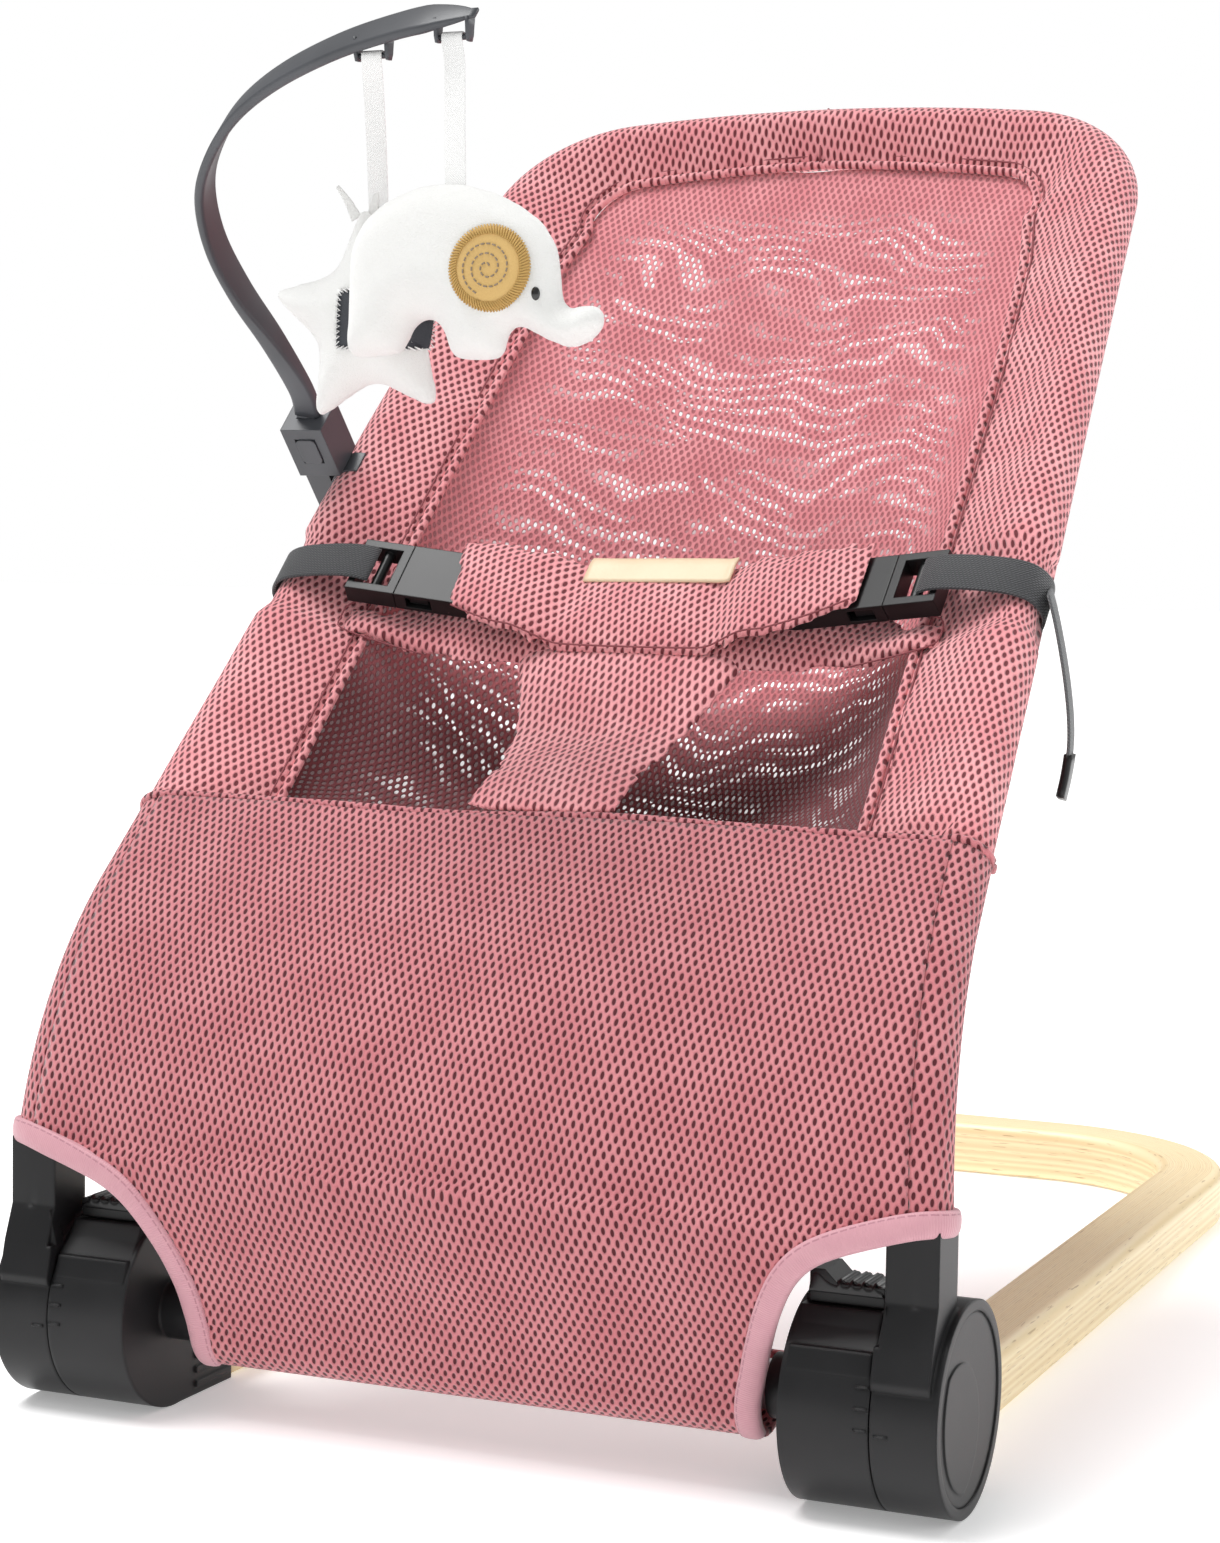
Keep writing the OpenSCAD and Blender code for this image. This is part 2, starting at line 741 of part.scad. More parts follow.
module seat_sling() {
    stops = [37, 41, 46, 52, 62, 75, 90, 105, 120, 135, 160, 190, 230, 270, 310, 350, 390, 428,
             442, 450, 457, 463, 467, 471, 474];
    place() color(rose_light)
    sheet([for (s = stops) sling_row(s, 0)], [for (s = stops) sling_row(s, -sling_t)]);
}

// Crotch strap from the front seam down to the waist pad
crotch_edge = [[39, 32], [70, 34], [106, 42], [139.5, 54]];
function crotch_row(s, o) = let (low = lerp(11.2, pad_o, smooth((s - 39) / 70)))
    [for (c = [-1 : 0.25 : 1.001]) side_pt(lookup(s, crotch_edge) * c, s, low + o)];

module crotch_strap() {
    stops = [for (i = [0 : 8]) lerp(crotch_edge[0][0], crotch_edge[3][0], i / 8)];
    place() color(rose)
    sheet([for (s = stops) crotch_row(s, pad_t)], [for (s = stops) crotch_row(s, 0)]);
}

// Waist pad under the belt; its tabs ride up over the inner edge of the border
function pad_low(x) = pad_o + 9.5 * smooth((abs(x) - 104) / 30);
pad_x = [-136, -130, -124, -118, -110, -102, -70, -35, 0, 35, 70, 102, 110, 118, 124, 130, 136];
function pad_row(s, o) = [for (x = pad_x) side_pt(x, s, pad_low(x) + o)];

module waist_pad() {
    stops = [140, 154, 170, 186, 199];
    place() color(rose)
    sheet([for (s = stops) pad_row(s, pad_t)], [for (s = stops) pad_row(s, 0)]);
}

// Flap folded down over the waist pad; its ends ride up over the buckles
function flap_o(x) = pad_o + pad_t + ply_gap + (buckle_t + ply_gap) * smooth((abs(x) - 32) / 24)
    + max(0, abs(x) - buckle_in) * tan(buckle_tilt);
function flap_low(x) = 144 + 14 * pow(abs(x) / 95, 3);
flap_top = 200;
flap_x = [-89, -82, -75, -68, -62, -56, -50, -44, -38, -32, -22, -11, 0,
          11, 22, 32, 38, 44, 50, 56, 62, 68, 78, 90, 101];

module waist_flap() {
    rows = [0, 0.25, 0.5, 0.75, 1];
    place() color(rose)
    sheet([for (r = rows) flap_row(r, flap_t)], [for (r = rows) flap_row(r, 0)]);
}

function flap_row(r, o) =
    [for (x = flap_x) side_pt(x, lerp(flap_low(x), flap_top, r), flap_o(x) + o)];

module label_patch() {
    place() color(cream) in_back()
    translate([0, flap_top - 10, flap_o(0) + flap_t + 0.1])
    linear_extrude(0.9)
    round_rect(62, 15, 2);
}

// ---------- belt ----------

// Places a solid drawn with x outward along the belt, y up the back, z out of the back
module on_belt(side) {
    place() sided(side) in_back()
    translate([buckle_in, belt_s, pad_o + pad_t + ply_gap])
    rotate([0, -buckle_tilt, 0])
    children();
}

// Fixed half of a side-release buckle, sewn under the flap
module buckle_female(side) {
    hw = buckle_w / 2;
    color(black) on_belt(side) difference() {
        span([0, -hw, 0], [female_len, hw, buckle_t]);
        // cavity for the prongs
        span([female_len - prong_reach - 5, -hw + buckle_wall, buckle_wall],
             [female_len + 1, hw - buckle_wall, buckle_t - buckle_wall]);
        // side windows where the prongs are pressed
        span([female_len - prong_reach - 2, -hw - 1, buckle_wall],
             [female_len - 5, hw + 1, buckle_t - buckle_wall]);
        // slot of the sewn loop
        span([5, -web_w / 2 - 1, -1], [9, web_w / 2 + 1, buckle_t + 1]);
    }
}

// Sliding half: ladder lock for the webbing, two sprung prongs and a middle guide
module buckle_male(side) {
    hw = buckle_w / 2;
    x0 = female_len + 0.3;
    x1 = x0 + ladder_len;
    color(black) on_belt(side) {
        difference() {
            span([x0, -hw, 0], [x1, hw, buckle_t]);
            span([x0 + 4, -web_w / 2 - 1, -1], [x1 - 3, web_w / 2 + 1, buckle_t + 1]);
        }
        translate([x0 + 11.5, -hw + 1, buckle_t / 2])
        rotate([-90, 0, 0])
        cylinder(h = 2 * hw - 2, r = 2.4, $fn = 32);
        for (sy = [-1, 1]) {
            span([x0 - prong_reach, sy * 10 - 1.5, 2.2], [x0 + 1, sy * 10 + 1.5, buckle_t - 2.2]);
            span([x0 - prong_reach, min(sy * 10, sy * 12.8), 2.2],
                 [x0 - 6, max(sy * 10, sy * 12.8), buckle_t - 2.2]);
        }
        span([x0 - prong_reach - 3, -1.8, 3], [x0 + 1, 1.8, buckle_t - 3]);
    }
}

// Route of the webbing from the ladder lock over the border and round the side, as [x, o]
web_route = [[127.5, 14.2], [133, 15], [140, 15.7], [150, 15.4], [158, 14.3], [165.5, 12.9],
             [172.2, 11], [176.9, 6.4], [178.3, 0], [176.9, -6.4], [172.2, -11.1], [165, -13.3],
             [157, -13.9]];

module webbing(side) {
    path = [for (p = web_route) side_pt(p[0], belt_s, p[1])];
    section = [[web_w / 2, web_t / 2], [-web_w / 2, web_t / 2],
               [-web_w / 2, -web_t / 2], [web_w / 2, -web_t / 2]];
    place() color(web_grey) sided(side)
    loft(rings(path, [for (p = path) section], back_up));
}

// Free end of the right strap, hanging down outside the seat
tail_route = [[180.8, 153, 336], [182.6, 154, 326], [184.6, 156, 314], [186, 158, 301],
              [187, 160, 288], [187, 161, 276], [186, 161, 265], [184.5, 159, 254]];

module strap_tail() {
    section = [[web_w / 2 - 2, web_t / 2], [2 - web_w / 2, web_t / 2],
               [2 - web_w / 2, -web_t / 2], [web_w / 2 - 2, -web_t / 2]];
    place() color(web_grey)
    loft(rings(tail_route, [for (p = tail_route) section], [0, 1, 0]));
}

// ---------- toy bar ----------

clip_o = [14, 42];
clip_x = -176;
button_o = 29;
socket_end_o = 20;
socket_w = 10;
socket_t = 4;

module clip_body() {
    place() color(bar_grey) in_back() translate([0, clip_s, 0]) difference() {
        union() {
            span([clip_x - 10.5, -10, clip_o[0]], [clip_x + 10.5, 10, clip_o[1]]);
            span([clip_x - 10.5, -6, -13], [clip_x + 1.5, 6, clip_o[0] + 1]);
            translate([-side_half_w(clip_s), 6, 0])
            rotate([90, 0, 0])
            difference() {
                cylinder(h = 12, r = sleeve_r + 3.4);
                translate([sleeve_r * 0.3, -40, -1])
                cube(80);
            }
        }
        translate([-side_half_w(clip_s), 12, 0])
        rotate([90, 0, 0])
        cylinder(h = 24, r = sleeve_r + 0.4);
        // socket of the bar
        span([clip_x - socket_w / 2 - 0.2, -socket_t / 2 - 0.2, socket_end_o],
             [clip_x + socket_w / 2 + 0.2, socket_t / 2 + 0.2, clip_o[1] + 1]);
        // well of the button
        span([clip_x - 5.2, -11, button_o - 7.2], [clip_x + 5.2, -3.6, button_o + 7.2]);
    }
}

module clip_button() {
    place() color(bar_grey) in_back()
    translate([clip_x, clip_s - 10.6, button_o])
    rotate([-90, 0, 0])
    linear_extrude(3)
    round_rect(10, 14, 2.5);
}

module clip_spring() {
    turns = 3;
    steps = 10;
    path = [for (i = [0 : turns * steps]) let (a = i * 360 / steps)
        [clip_x + 2.6 * cos(a), lerp(clip_s - 7.2, clip_s - 4, i / (turns * steps)),
         button_o + 2.6 * sin(a)]];
    place() color(steel) in_back()
    loft(rings(path, tube_sections(len(path), 0.3, 6), [0, 1, 0]));
}

// Bar section: a rounded strip, broad across the seat at the clip and turned flat above it
function bar_ring(i) = let (
    f = smooth((bar_line[i][1] - 44) / 90),
    tip = i >= len(bar_line) - 1 ? 0.8 : 1,
    a = lerp(6, 2.1, f) * tip,
    b = lerp(2.6, 8, f) * tip,
    c = 1.2
) [[b - c, a], [b, a - c], [b, c - a], [b - c, -a], [c - b, -a], [-b, c - a], [-b, a - c], [c - b, a]];

module toy_bar() {
    path = [for (p = bar_line) [p[0], 0, p[1]]];
    place() color(bar_grey) {
        in_back() translate([0, clip_s, 0]) {
            loft(rings(path, [for (i = [0 : len(path) - 1]) bar_ring(i)], [0, 1, 0]));
            span([clip_x - socket_w / 2, -socket_t / 2, socket_end_o + 0.5],
                 [clip_x + socket_w / 2, socket_t / 2, clip_o[1] + 3]);
        }
        bar_hook(hook_elephant_x);
        bar_hook(hook_star_x);
    }
}

// Two small ears below the bar with a pin between them, for the loop of a toy strap
module bar_hook(x) {
    p = hook_at(x);
    for (sx = [-1, 1])
        translate([x + sx * hook_half_w - 0.75, p[1] - 3, p[2] - hook_drop - 2])
        cube([1.5, 6, hook_drop + 2]);
    translate([x - hook_half_w, p[1], p[2] - hook_drop])
    rotate([0, 90, 0])
    cylinder(h = 2 * hook_half_w, r = hook_pin_r, $fn = 24);
}

function hook_o(x) = lookup(x, [[-87, 240], [-57, 248], [-38, 251], [-22, 252]]);
function hook_at(x) = side_pt(x, clip_s, hook_o(x));

// ---------- toys ----------

// A stuffed shape from an outline [x, z]: full in the middle, drawn in at both faces
module stuffed(outline, y, half) {
    mid = [for (k = [0, 1]) (max([for (p = outline) p[k]]) + min([for (p = outline) p[k]])) / 2];
    layers = [[-1, 0.68], [-0.65, 0.92], [0, 1], [0.65, 0.92], [1, 0.68]];
    loft([for (l = layers) [for (p = outline)
        let (q = mid + (p - mid) * l[1]) [q[0], y + half * l[0], q[1]]]]);
}

elephant_outline = [
    [-73, 431], [-72, 457], [-69, 475], [-60, 486], [-46, 493], [-31, 496], [-14, 494], [2, 488],
    [13, 479], [20.5, 466], [22, 449.5], [36, 448.5], [40.5, 442.5], [36, 434.5], [24, 431.5],
    [5, 437], [-0.5, 436], [-4.5, 426], [-23, 425], [-28.5, 437], [-43, 438], [-50.5, 428],
    [-70, 427.5]
];

module elephant_toy() {
    place() color(plush) stuffed(elephant_outline, elephant_y, elephant_half);
}

module elephant_ears() {
    place() color(tan_felt) for (sy = [-1, 1])
        translate([-3, elephant_y + sy * (elephant_half + 0.9), 461])
        rotate([90, 0, 0])
        cylinder(h = 1.6, r = 16.5, center = true);
}

// A ribbon from the hook pin at x down to the toy, leaning to where the toy hangs
module toy_strap(x, low) {
    top = hook_at(x);
    half_w = 4.5;
    half_t = 0.6;
    from = [x, top[1], top[2] - hook_drop - hook_pin_r - 0.3];
    place() color(plush) loft([
        for (t = [0, 0.5, 1]) let (p = lerp(from, low, t))
            [p + [-half_w, -half_t, 0], p + [half_w, -half_t, 0],
             p + [half_w, half_t, 0], p + [-half_w, half_t, 0]]
    ]);
}

module elephant_strap() {
    toy_strap(hook_elephant_x, [hook_elephant_x + 7, elephant_y, 496]);
}

star_mid = [-78.5, 445];
star_outline = [for (i = [0 : 9])
    let (a = 94 + i * 36, r = i % 2 == 0 ? 48 : 26) star_mid + r * [cos(a), sin(a)]];

module star_toy() {
    place() color(plush) stuffed(star_outline, star_y, star_half);
}

module star_strap() {
    toy_strap(hook_star_x, [hook_star_x - 6, star_y, 491]);
}

base_bow();
inner_housing(-1);  // inner_housing_left
inner_housing(1);  // inner_housing_right
cross_tube();
hub_bolts();
hub_nuts();
bow_screws();
bow_pads();
release_slider(-1);  // release_slider_left
release_slider(1);  // release_slider_right
lock_ring(-1);  // lock_ring_left
lock_ring(1);  // lock_ring_right
release_spring(-1);  // release_spring_left
release_spring(1);  // release_spring_right
outer_housing(-1);  // outer_housing_left
outer_housing(1);  // outer_housing_right
hub_cap(-1);  // hub_cap_left
hub_cap(1);  // hub_cap_right
lower_tube(-1);  // lower_tube_left
lower_tube(1);  // lower_tube_right
upper_tube();
arm_screws();
frame_screws();
hem_sleeve();
leg_panel();
side_sleeve(-1);  // side_sleeve_left
side_sleeve(1);  // side_sleeve_right
seat_border();
seat_sling();
crotch_strap();
waist_pad();
waist_flap();
label_patch();
buckle_female(-1);  // buckle_female_left
buckle_female(1);  // buckle_female_right
buckle_male(-1);  // buckle_male_left
buckle_male(1);  // buckle_male_right
webbing(-1);  // webbing_left
webbing(1);  // webbing_right
strap_tail();
clip_body();
clip_button();
clip_spring();
toy_bar();
elephant_toy();
elephant_ears();
elephant_strap();
star_toy();
star_strap();
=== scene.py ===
# Baby bouncer seat: the visual model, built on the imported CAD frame.
# Lengths below are millimetres measured from the hub axis (x across, y back, z up from the floor);
# to_row() turns them into metres in the row frame.
import math

import bmesh
import bpy
import numpy as np
from mathutils import Matrix, Vector


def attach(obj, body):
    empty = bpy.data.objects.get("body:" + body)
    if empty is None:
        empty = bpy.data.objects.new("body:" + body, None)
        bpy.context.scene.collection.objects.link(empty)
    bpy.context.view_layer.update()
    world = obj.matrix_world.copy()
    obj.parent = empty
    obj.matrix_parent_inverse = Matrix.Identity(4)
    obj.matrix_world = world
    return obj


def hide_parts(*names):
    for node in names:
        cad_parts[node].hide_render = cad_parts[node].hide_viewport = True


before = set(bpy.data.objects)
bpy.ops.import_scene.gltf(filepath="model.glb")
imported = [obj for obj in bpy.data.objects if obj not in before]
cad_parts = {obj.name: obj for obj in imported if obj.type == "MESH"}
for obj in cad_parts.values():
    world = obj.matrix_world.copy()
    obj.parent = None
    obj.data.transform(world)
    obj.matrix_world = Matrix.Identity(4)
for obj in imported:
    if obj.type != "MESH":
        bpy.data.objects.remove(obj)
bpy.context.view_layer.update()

# ---------- sizes repeated from the design ----------
SHIFT_Y = 301.5
HUB_R = 40.5
BACK_A = math.radians(44)
ARM_A = math.radians(86)
BEND_R = 165.0
BEND_LEN = BEND_R * (ARM_A - BACK_A)
BEND_Y, BEND_Z = 28.0, 212.0
FRAME_HALF_W = 176.5
SIDE_TAPER = 0.059
ARM_FLARE = 0.02
SIDE_LEN = 434.0
CORNER_R = 58.0
CORNER_FROM = math.radians(90) + math.atan(SIDE_TAPER)
CORNER_TO = math.radians(172)
CORNER_LEN = CORNER_R * (CORNER_TO - CORNER_FROM)
CORNER_X = FRAME_HALF_W - SIDE_TAPER * SIDE_LEN
CROWN_X = CORNER_X + CORNER_R * (math.sin(CORNER_TO) - math.sin(CORNER_FROM))
CROWN_S = SIDE_LEN + CORNER_R * (math.cos(CORNER_FROM) - math.cos(CORNER_TO))
CROWN_R = CROWN_X / math.sin(math.pi - CORNER_TO)
CROWN_LEN = CROWN_R * (math.pi - CORNER_TO)
HALF_LEN = SIDE_LEN + CORNER_LEN + CROWN_LEN
SEAM_S = 36.0
ROLL_R = 12.6
BOW_BACK = 643.5
BOW_W, BOW_H = 34.0, 28.0
BOW_BEND_R = 97.0
BOW_MID_X = 156.0
BELT_S = 177.0
PAD_O = -12.0
BUCKLE_IN = 62.0
BUCKLE_TILT = math.radians(9.5)
CLIP_S = 243.0
CLIP_X = -176.0
BORDER_TAIL = [(0, 45), (50, 43), (200, 38.5), (330, 35), (400, 35), (434, 39), (474, 31), (514, 21), (615, 17)]


# ---------- geometry helpers ----------

def to_row(p):
    """Hub-frame millimetres to row-frame metres."""
    p = np.array(p, float)
    p[..., 1] -= SHIFT_Y
    return p / 1000.0


def lerp(a, b, t):
    return a + (b - a) * t


def smooth(t):
    c = np.clip(t, 0, 1)
    return c * c * (3 - 2 * c)


def table(x, pairs):
    xs, ys = zip(*pairs)
    return np.interp(x, xs, ys)


def half_w(s):
    return FRAME_HALF_W - SIDE_TAPER * s - ARM_FLARE * np.minimum(s, 0)


def side_pt(x, s, o):
    """A point of the seat: x across, s along the frame side, o out of the front."""
    x, s, o = np.broadcast_arrays(*[np.asarray(v, float) for v in (x, s, o)])
    a = np.minimum(ARM_A, BACK_A - np.minimum(s, 0) / BEND_R)
    low = np.minimum(s + BEND_LEN, 0)
    y = (BEND_Y - BEND_R * (np.sin(a) - math.sin(BACK_A)) + np.maximum(s, 0) * math.cos(BACK_A)
         + low * math.cos(ARM_A) - o * np.sin(a))
    z = (BEND_Z - BEND_R * (math.cos(BACK_A) - np.cos(a)) + np.maximum(s, 0) * math.sin(BACK_A)
         + low * math.sin(ARM_A) + o * np.cos(a))
    return np.stack([x, y, z], -1)


def frame_at(t):
    """Centre (x, s) and outward unit normal of the back frame at length t; past the crown it mirrors."""
    t = np.asarray(t, float)
    sign = np.where(t > HALF_LEN, -1.0, 1.0)
    t = np.where(t > HALF_LEN, 2 * HALF_LEN - t, t)
    a1 = CORNER_FROM + np.clip(t - SIDE_LEN, 0, CORNER_LEN) / CORNER_R
    a2 = CORNER_TO + np.clip(t - SIDE_LEN - CORNER_LEN, 0, None) / CROWN_R
    a = np.where(t <= SIDE_LEN + CORNER_LEN, a1, a2)
    x = np.where(t <= SIDE_LEN, half_w(t),
                 np.where(t <= SIDE_LEN + CORNER_LEN,
                          CORNER_X + CORNER_R * (np.sin(a1) - math.sin(CORNER_FROM)),
                          CROWN_X + CROWN_R * (np.sin(a2) - math.sin(CORNER_TO))))
    s = np.where(t <= SIDE_LEN, t,
                 np.where(t <= SIDE_LEN + CORNER_LEN,
                          SIDE_LEN + CORNER_R * (math.cos(CORNER_FROM) - np.cos(a1)),
                          CROWN_S + CROWN_R * (math.cos(CORNER_TO) - np.cos(a2))))
    nx, ns = np.sin(a), -np.cos(a)
    return x * sign, s, nx * sign, ns


def waves(u, v, scale, seed, octaves=4):
    """Smooth pseudo-random waves about -1..1 over a plane in millimetres."""
    r = np.random.default_rng(seed)
    total = np.zeros(np.broadcast(u, v).shape)
    for k in range(octaves * 3):
        ang = r.uniform(0, 2 * math.pi)
        f = 2 * math.pi / scale * r.uniform(0.5, 1.6)
        total += np.sin(f * (u * math.cos(ang) + v * math.sin(ang)) + r.uniform(0, 6.28))
    return total / (octaves * 1.7)


def add_mesh(name, pts, faces, uv=None):
    """A mesh object from points in hub millimetres; uv is per point, in millimetres."""
    me = bpy.data.meshes.new(name)
    co = np.array(pts, float).reshape(-1, 3)
    me.from_pydata([tuple(p) for p in to_row(co)], [], faces)
    if uv is not None:
        layer = me.uv_layers.new(name="UVMap")
        flat = np.array(uv, float).reshape(-1, 2) / 1000.0
        idx = np.zeros(len(me.loops), int)
        me.loops.foreach_get("vertex_index", idx)
        layer.data.foreach_set("uv", flat[idx].ravel())
    me.update()
    me.polygons.foreach_set("use_smooth", [True] * len(me.polygons))
    ob = bpy.data.objects.new(name, me)
    bpy.context.scene.collection.objects.link(ob)
    return ob


def grid_faces(m, n, close_u=False, close_v=False):
    faces = []
    for i in range(m if close_u else m - 1):
        for j in range(n if close_v else n - 1):
            a, b = i * n + j, i * n + (j + 1) % n
            c, d = ((i + 1) % m) * n + (j + 1) % n, ((i + 1) % m) * n + j
            faces.append((a, b, c, d))
    return faces


def fix_normals(ob):
    bm = bmesh.new()
    bm.from_mesh(ob.data)
    bmesh.ops.recalc_face_normals(bm, faces=bm.faces)
    bm.to_mesh(ob.data)
    bm.free()


def grid(name, P, uv=None, close_u=False, close_v=False, caps=False):
    m, n = P.shape[:2]
    faces = grid_faces(m, n, close_u, close_v)
    if caps and close_v:
        faces += [tuple(range(n - 1, -1, -1)), tuple((m - 1) * n + j for j in range(n))]
    ob = add_mesh(name, P, faces, uv)
    if close_v:
        fix_normals(ob)
    return ob


def unit(v):
    return v / np.maximum(np.linalg.norm(v, axis=-1, keepdims=True), 1e-9)


def sweep(name, path, section, ref, caps=True, closed=False):
    """Carry a section along a path; section is (k, 2) or (m, k, 2), its first axis stays near ref."""
    path = np.array(path, float)
    m = len(path)
    if closed:
        tan = unit(np.roll(path, -1, 0) - np.roll(path, 1, 0))
    else:
        tan = unit(np.gradient(path, axis=0))
    ref = np.broadcast_to(np.array(ref, float), path.shape)
    n = unit(ref - (ref * tan).sum(-1, keepdims=True) * tan)
    b = np.cross(tan, n)
    section = np.array(section, float)
    if section.ndim == 2:
        section = np.repeat(section[None], m, 0)
    P = path[:, None] + n[:, None] * section[..., :1] + b[:, None] * section[..., 1:]
    d = np.concatenate([[0], np.cumsum(np.linalg.norm(np.diff(path, axis=0), axis=1))])
    ring = np.concatenate([[0], np.cumsum(np.linalg.norm(np.diff(section[0], axis=0), axis=1))])
    uv = np.stack(np.broadcast_arrays(d[:, None], ring[None]), -1)
    return grid(name, P, uv, close_u=closed, close_v=True, caps=caps and not closed)


def resample(path, step):
    path = np.array(path, float)
    d = np.concatenate([[0], np.cumsum(np.linalg.norm(np.diff(path, axis=0), axis=1))])
    count = max(3, int(d[-1] / step) + 1)
    t = np.linspace(0, d[-1], count)
    return np.stack([np.interp(t, d, path[:, k]) for k in range(path.shape[1])], -1)


def catmull_rom(q, parts):
    """Points of a Catmull-Rom spline between the second and the last but one of q, in parts per span."""
    t = np.linspace(0, 1, parts + 1)[:-1, None]
    out = []
    for i in range(1, len(q) - 2):
        out.append(0.5 * (2 * q[i] + (q[i + 1] - q[i - 1]) * t
                          + (2 * q[i - 1] - 5 * q[i] + 4 * q[i + 1] - q[i + 2]) * t ** 2
                          + (3 * q[i] - q[i - 1] - 3 * q[i + 1] + q[i + 2]) * t ** 3))
    return np.vstack(out)


def curve_through(points, step=3.0):
    """A smooth open path through points, evenly spaced."""
    p = np.array(points, float)
    q = np.vstack([2 * p[0] - p[1], p, 2 * p[-1] - p[-2]])
    return resample(np.vstack([catmull_rom(q, 12), p[-1:]]), step)


def closed_curve(points, step):
    """A smooth closed outline through points, evenly spaced."""
    p = np.array(points, float)
    return resample(catmull_rom(np.vstack([p[-1:], p, p[:2]]), 8), step)[:-1]


def round_rect(w, h, r, k=5):
    pts = []
    for cx, cy, a0 in [(1, 1, 0), (-1, 1, 90), (-1, -1, 180), (1, -1, 270)]:
        for i in range(k + 1):
            a = math.radians(a0 + 90 * i / k)
            pts.append((cx * (w / 2 - r) + r * math.cos(a), cy * (h / 2 - r) + r * math.sin(a)))
    return np.array(pts)


def circle(r, n=16):
    a = np.arange(n) * 2 * math.pi / n
    return np.stack([r * np.cos(a), r * np.sin(a)], -1)


def subdivide(ob, levels=1):
    mod = ob.modifiers.new("Subdivision", "SUBSURF")
    mod.levels = levels
    mod.render_levels = levels
    return ob


def thicken(ob, mm, offset=0.0):
    mod = ob.modifiers.new("Thickness", "SOLIDIFY")
    mod.thickness = mm / 1000.0
    mod.offset = offset
    return ob


def apply_modifiers(ob):
    dg = bpy.context.evaluated_depsgraph_get()
    me = bpy.data.meshes.new_from_object(ob.evaluated_get(dg), preserve_all_data_layers=True, depsgraph=dg)
    old = ob.data
    ob.modifiers.clear()
    ob.data = me
    bpy.data.meshes.remove(old)


def coords(ob):
    co = np.zeros(len(ob.data.vertices) * 3)
    ob.data.vertices.foreach_get("co", co)
    return co.reshape(-1, 3)


def set_coords(ob, co):
    ob.data.vertices.foreach_set("co", np.ascontiguousarray(co, float).ravel())
    ob.data.update()


def remesh(ob, voxel_mm):
    mod = ob.modifiers.new("Remesh", "REMESH")
    mod.mode = "VOXEL"
    mod.voxel_size = voxel_mm / 1000.0
    apply_modifiers(ob)


def inflate(ob, pressure=4.0, cap_mm=7.0, pins=None, shrink=0.0, frames=20, stiff=15.0):
    """Swell a closed mesh with Blender's cloth under inner pressure, and keep the result in the mesh."""
    before = coords(ob)
    mod = ob.modifiers.new("Cloth", "CLOTH")
    s = mod.settings
    s.use_pressure = True
    s.uniform_pressure_force = pressure
    s.effector_weights.gravity = 0
    s.tension_stiffness = stiff
    s.compression_stiffness = stiff
    s.shear_stiffness = 5
    s.bending_stiffness = 0.5
    s.quality = 5
    s.mass = 0.15
    s.shrink_min = shrink
    mod.collision_settings.use_collision = False
    mod.collision_settings.use_self_collision = False
    if pins is not None:
        group = ob.vertex_groups.new(name="pins")
        for i, w in enumerate(pins):
            if w > 0:
                group.add([i], float(w), "REPLACE")
        s.vertex_group_mass = "pins"
    mod.point_cache.frame_start = 1
    mod.point_cache.frame_end = frames
    scene = bpy.context.scene
    for f in range(1, frames + 1):
        scene.frame_set(f)
    dg = bpy.context.evaluated_depsgraph_get()
    me = ob.evaluated_get(dg).to_mesh()
    after = np.zeros(len(me.vertices) * 3)
    me.vertices.foreach_get("co", after)
    after = after.reshape(-1, 3)
    ob.evaluated_get(dg).to_mesh_clear()
    ob.modifiers.remove(mod)
    scene.frame_set(1)
    step = after - before
    length = np.linalg.norm(step, axis=1, keepdims=True)
    cap = cap_mm / 1000.0
    step *= np.minimum(1, cap / np.maximum(length, 1e-9))
    set_coords(ob, before + step)
    return ob


def relax(ob, rounds, factor=0.5):
    """Even out a mesh without changing which points it has."""
    bm = bmesh.new()
    bm.from_mesh(ob.data)
    for _ in range(rounds):
        bmesh.ops.smooth_vert(bm, verts=bm.verts, factor=factor, use_axis_x=True, use_axis_y=True,
                              use_axis_z=True)
    bm.to_mesh(ob.data)
    bm.free()


def back_uv(ob, turn=0.0, stretch=1.0):
    """UV in metres from the plane of the back frame: x across and s up the back."""
    me = ob.data
    co = coords(ob) * 1000.0
    y, z = co[:, 1] + SHIFT_Y - BEND_Y, co[:, 2] - BEND_Z
    s = y * math.cos(BACK_A) + z * math.sin(BACK_A)
    u, v = co[:, 0], s * stretch
    u, v = u * math.cos(turn) - v * math.sin(turn), u * math.sin(turn) + v * math.cos(turn)
    layer = me.uv_layers.get("UVMap") or me.uv_layers.new(name="UVMap")
    idx = np.zeros(len(me.loops), int)
    me.loops.foreach_get("vertex_index", idx)
    layer.data.foreach_set("uv", (np.stack([u, v], -1)[idx] / 1000.0).ravel())


def finish_piece(ob, body, material, nodes=()):
    ob.data.materials.clear()
    ob.data.materials.append(material)
    if ob.type == "MESH":
        ob.data.polygons.foreach_set("use_smooth", [True] * len(ob.data.polygons))
    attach(ob, body)
    if nodes:
        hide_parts(*nodes)
    return ob


# ---------- materials ----------

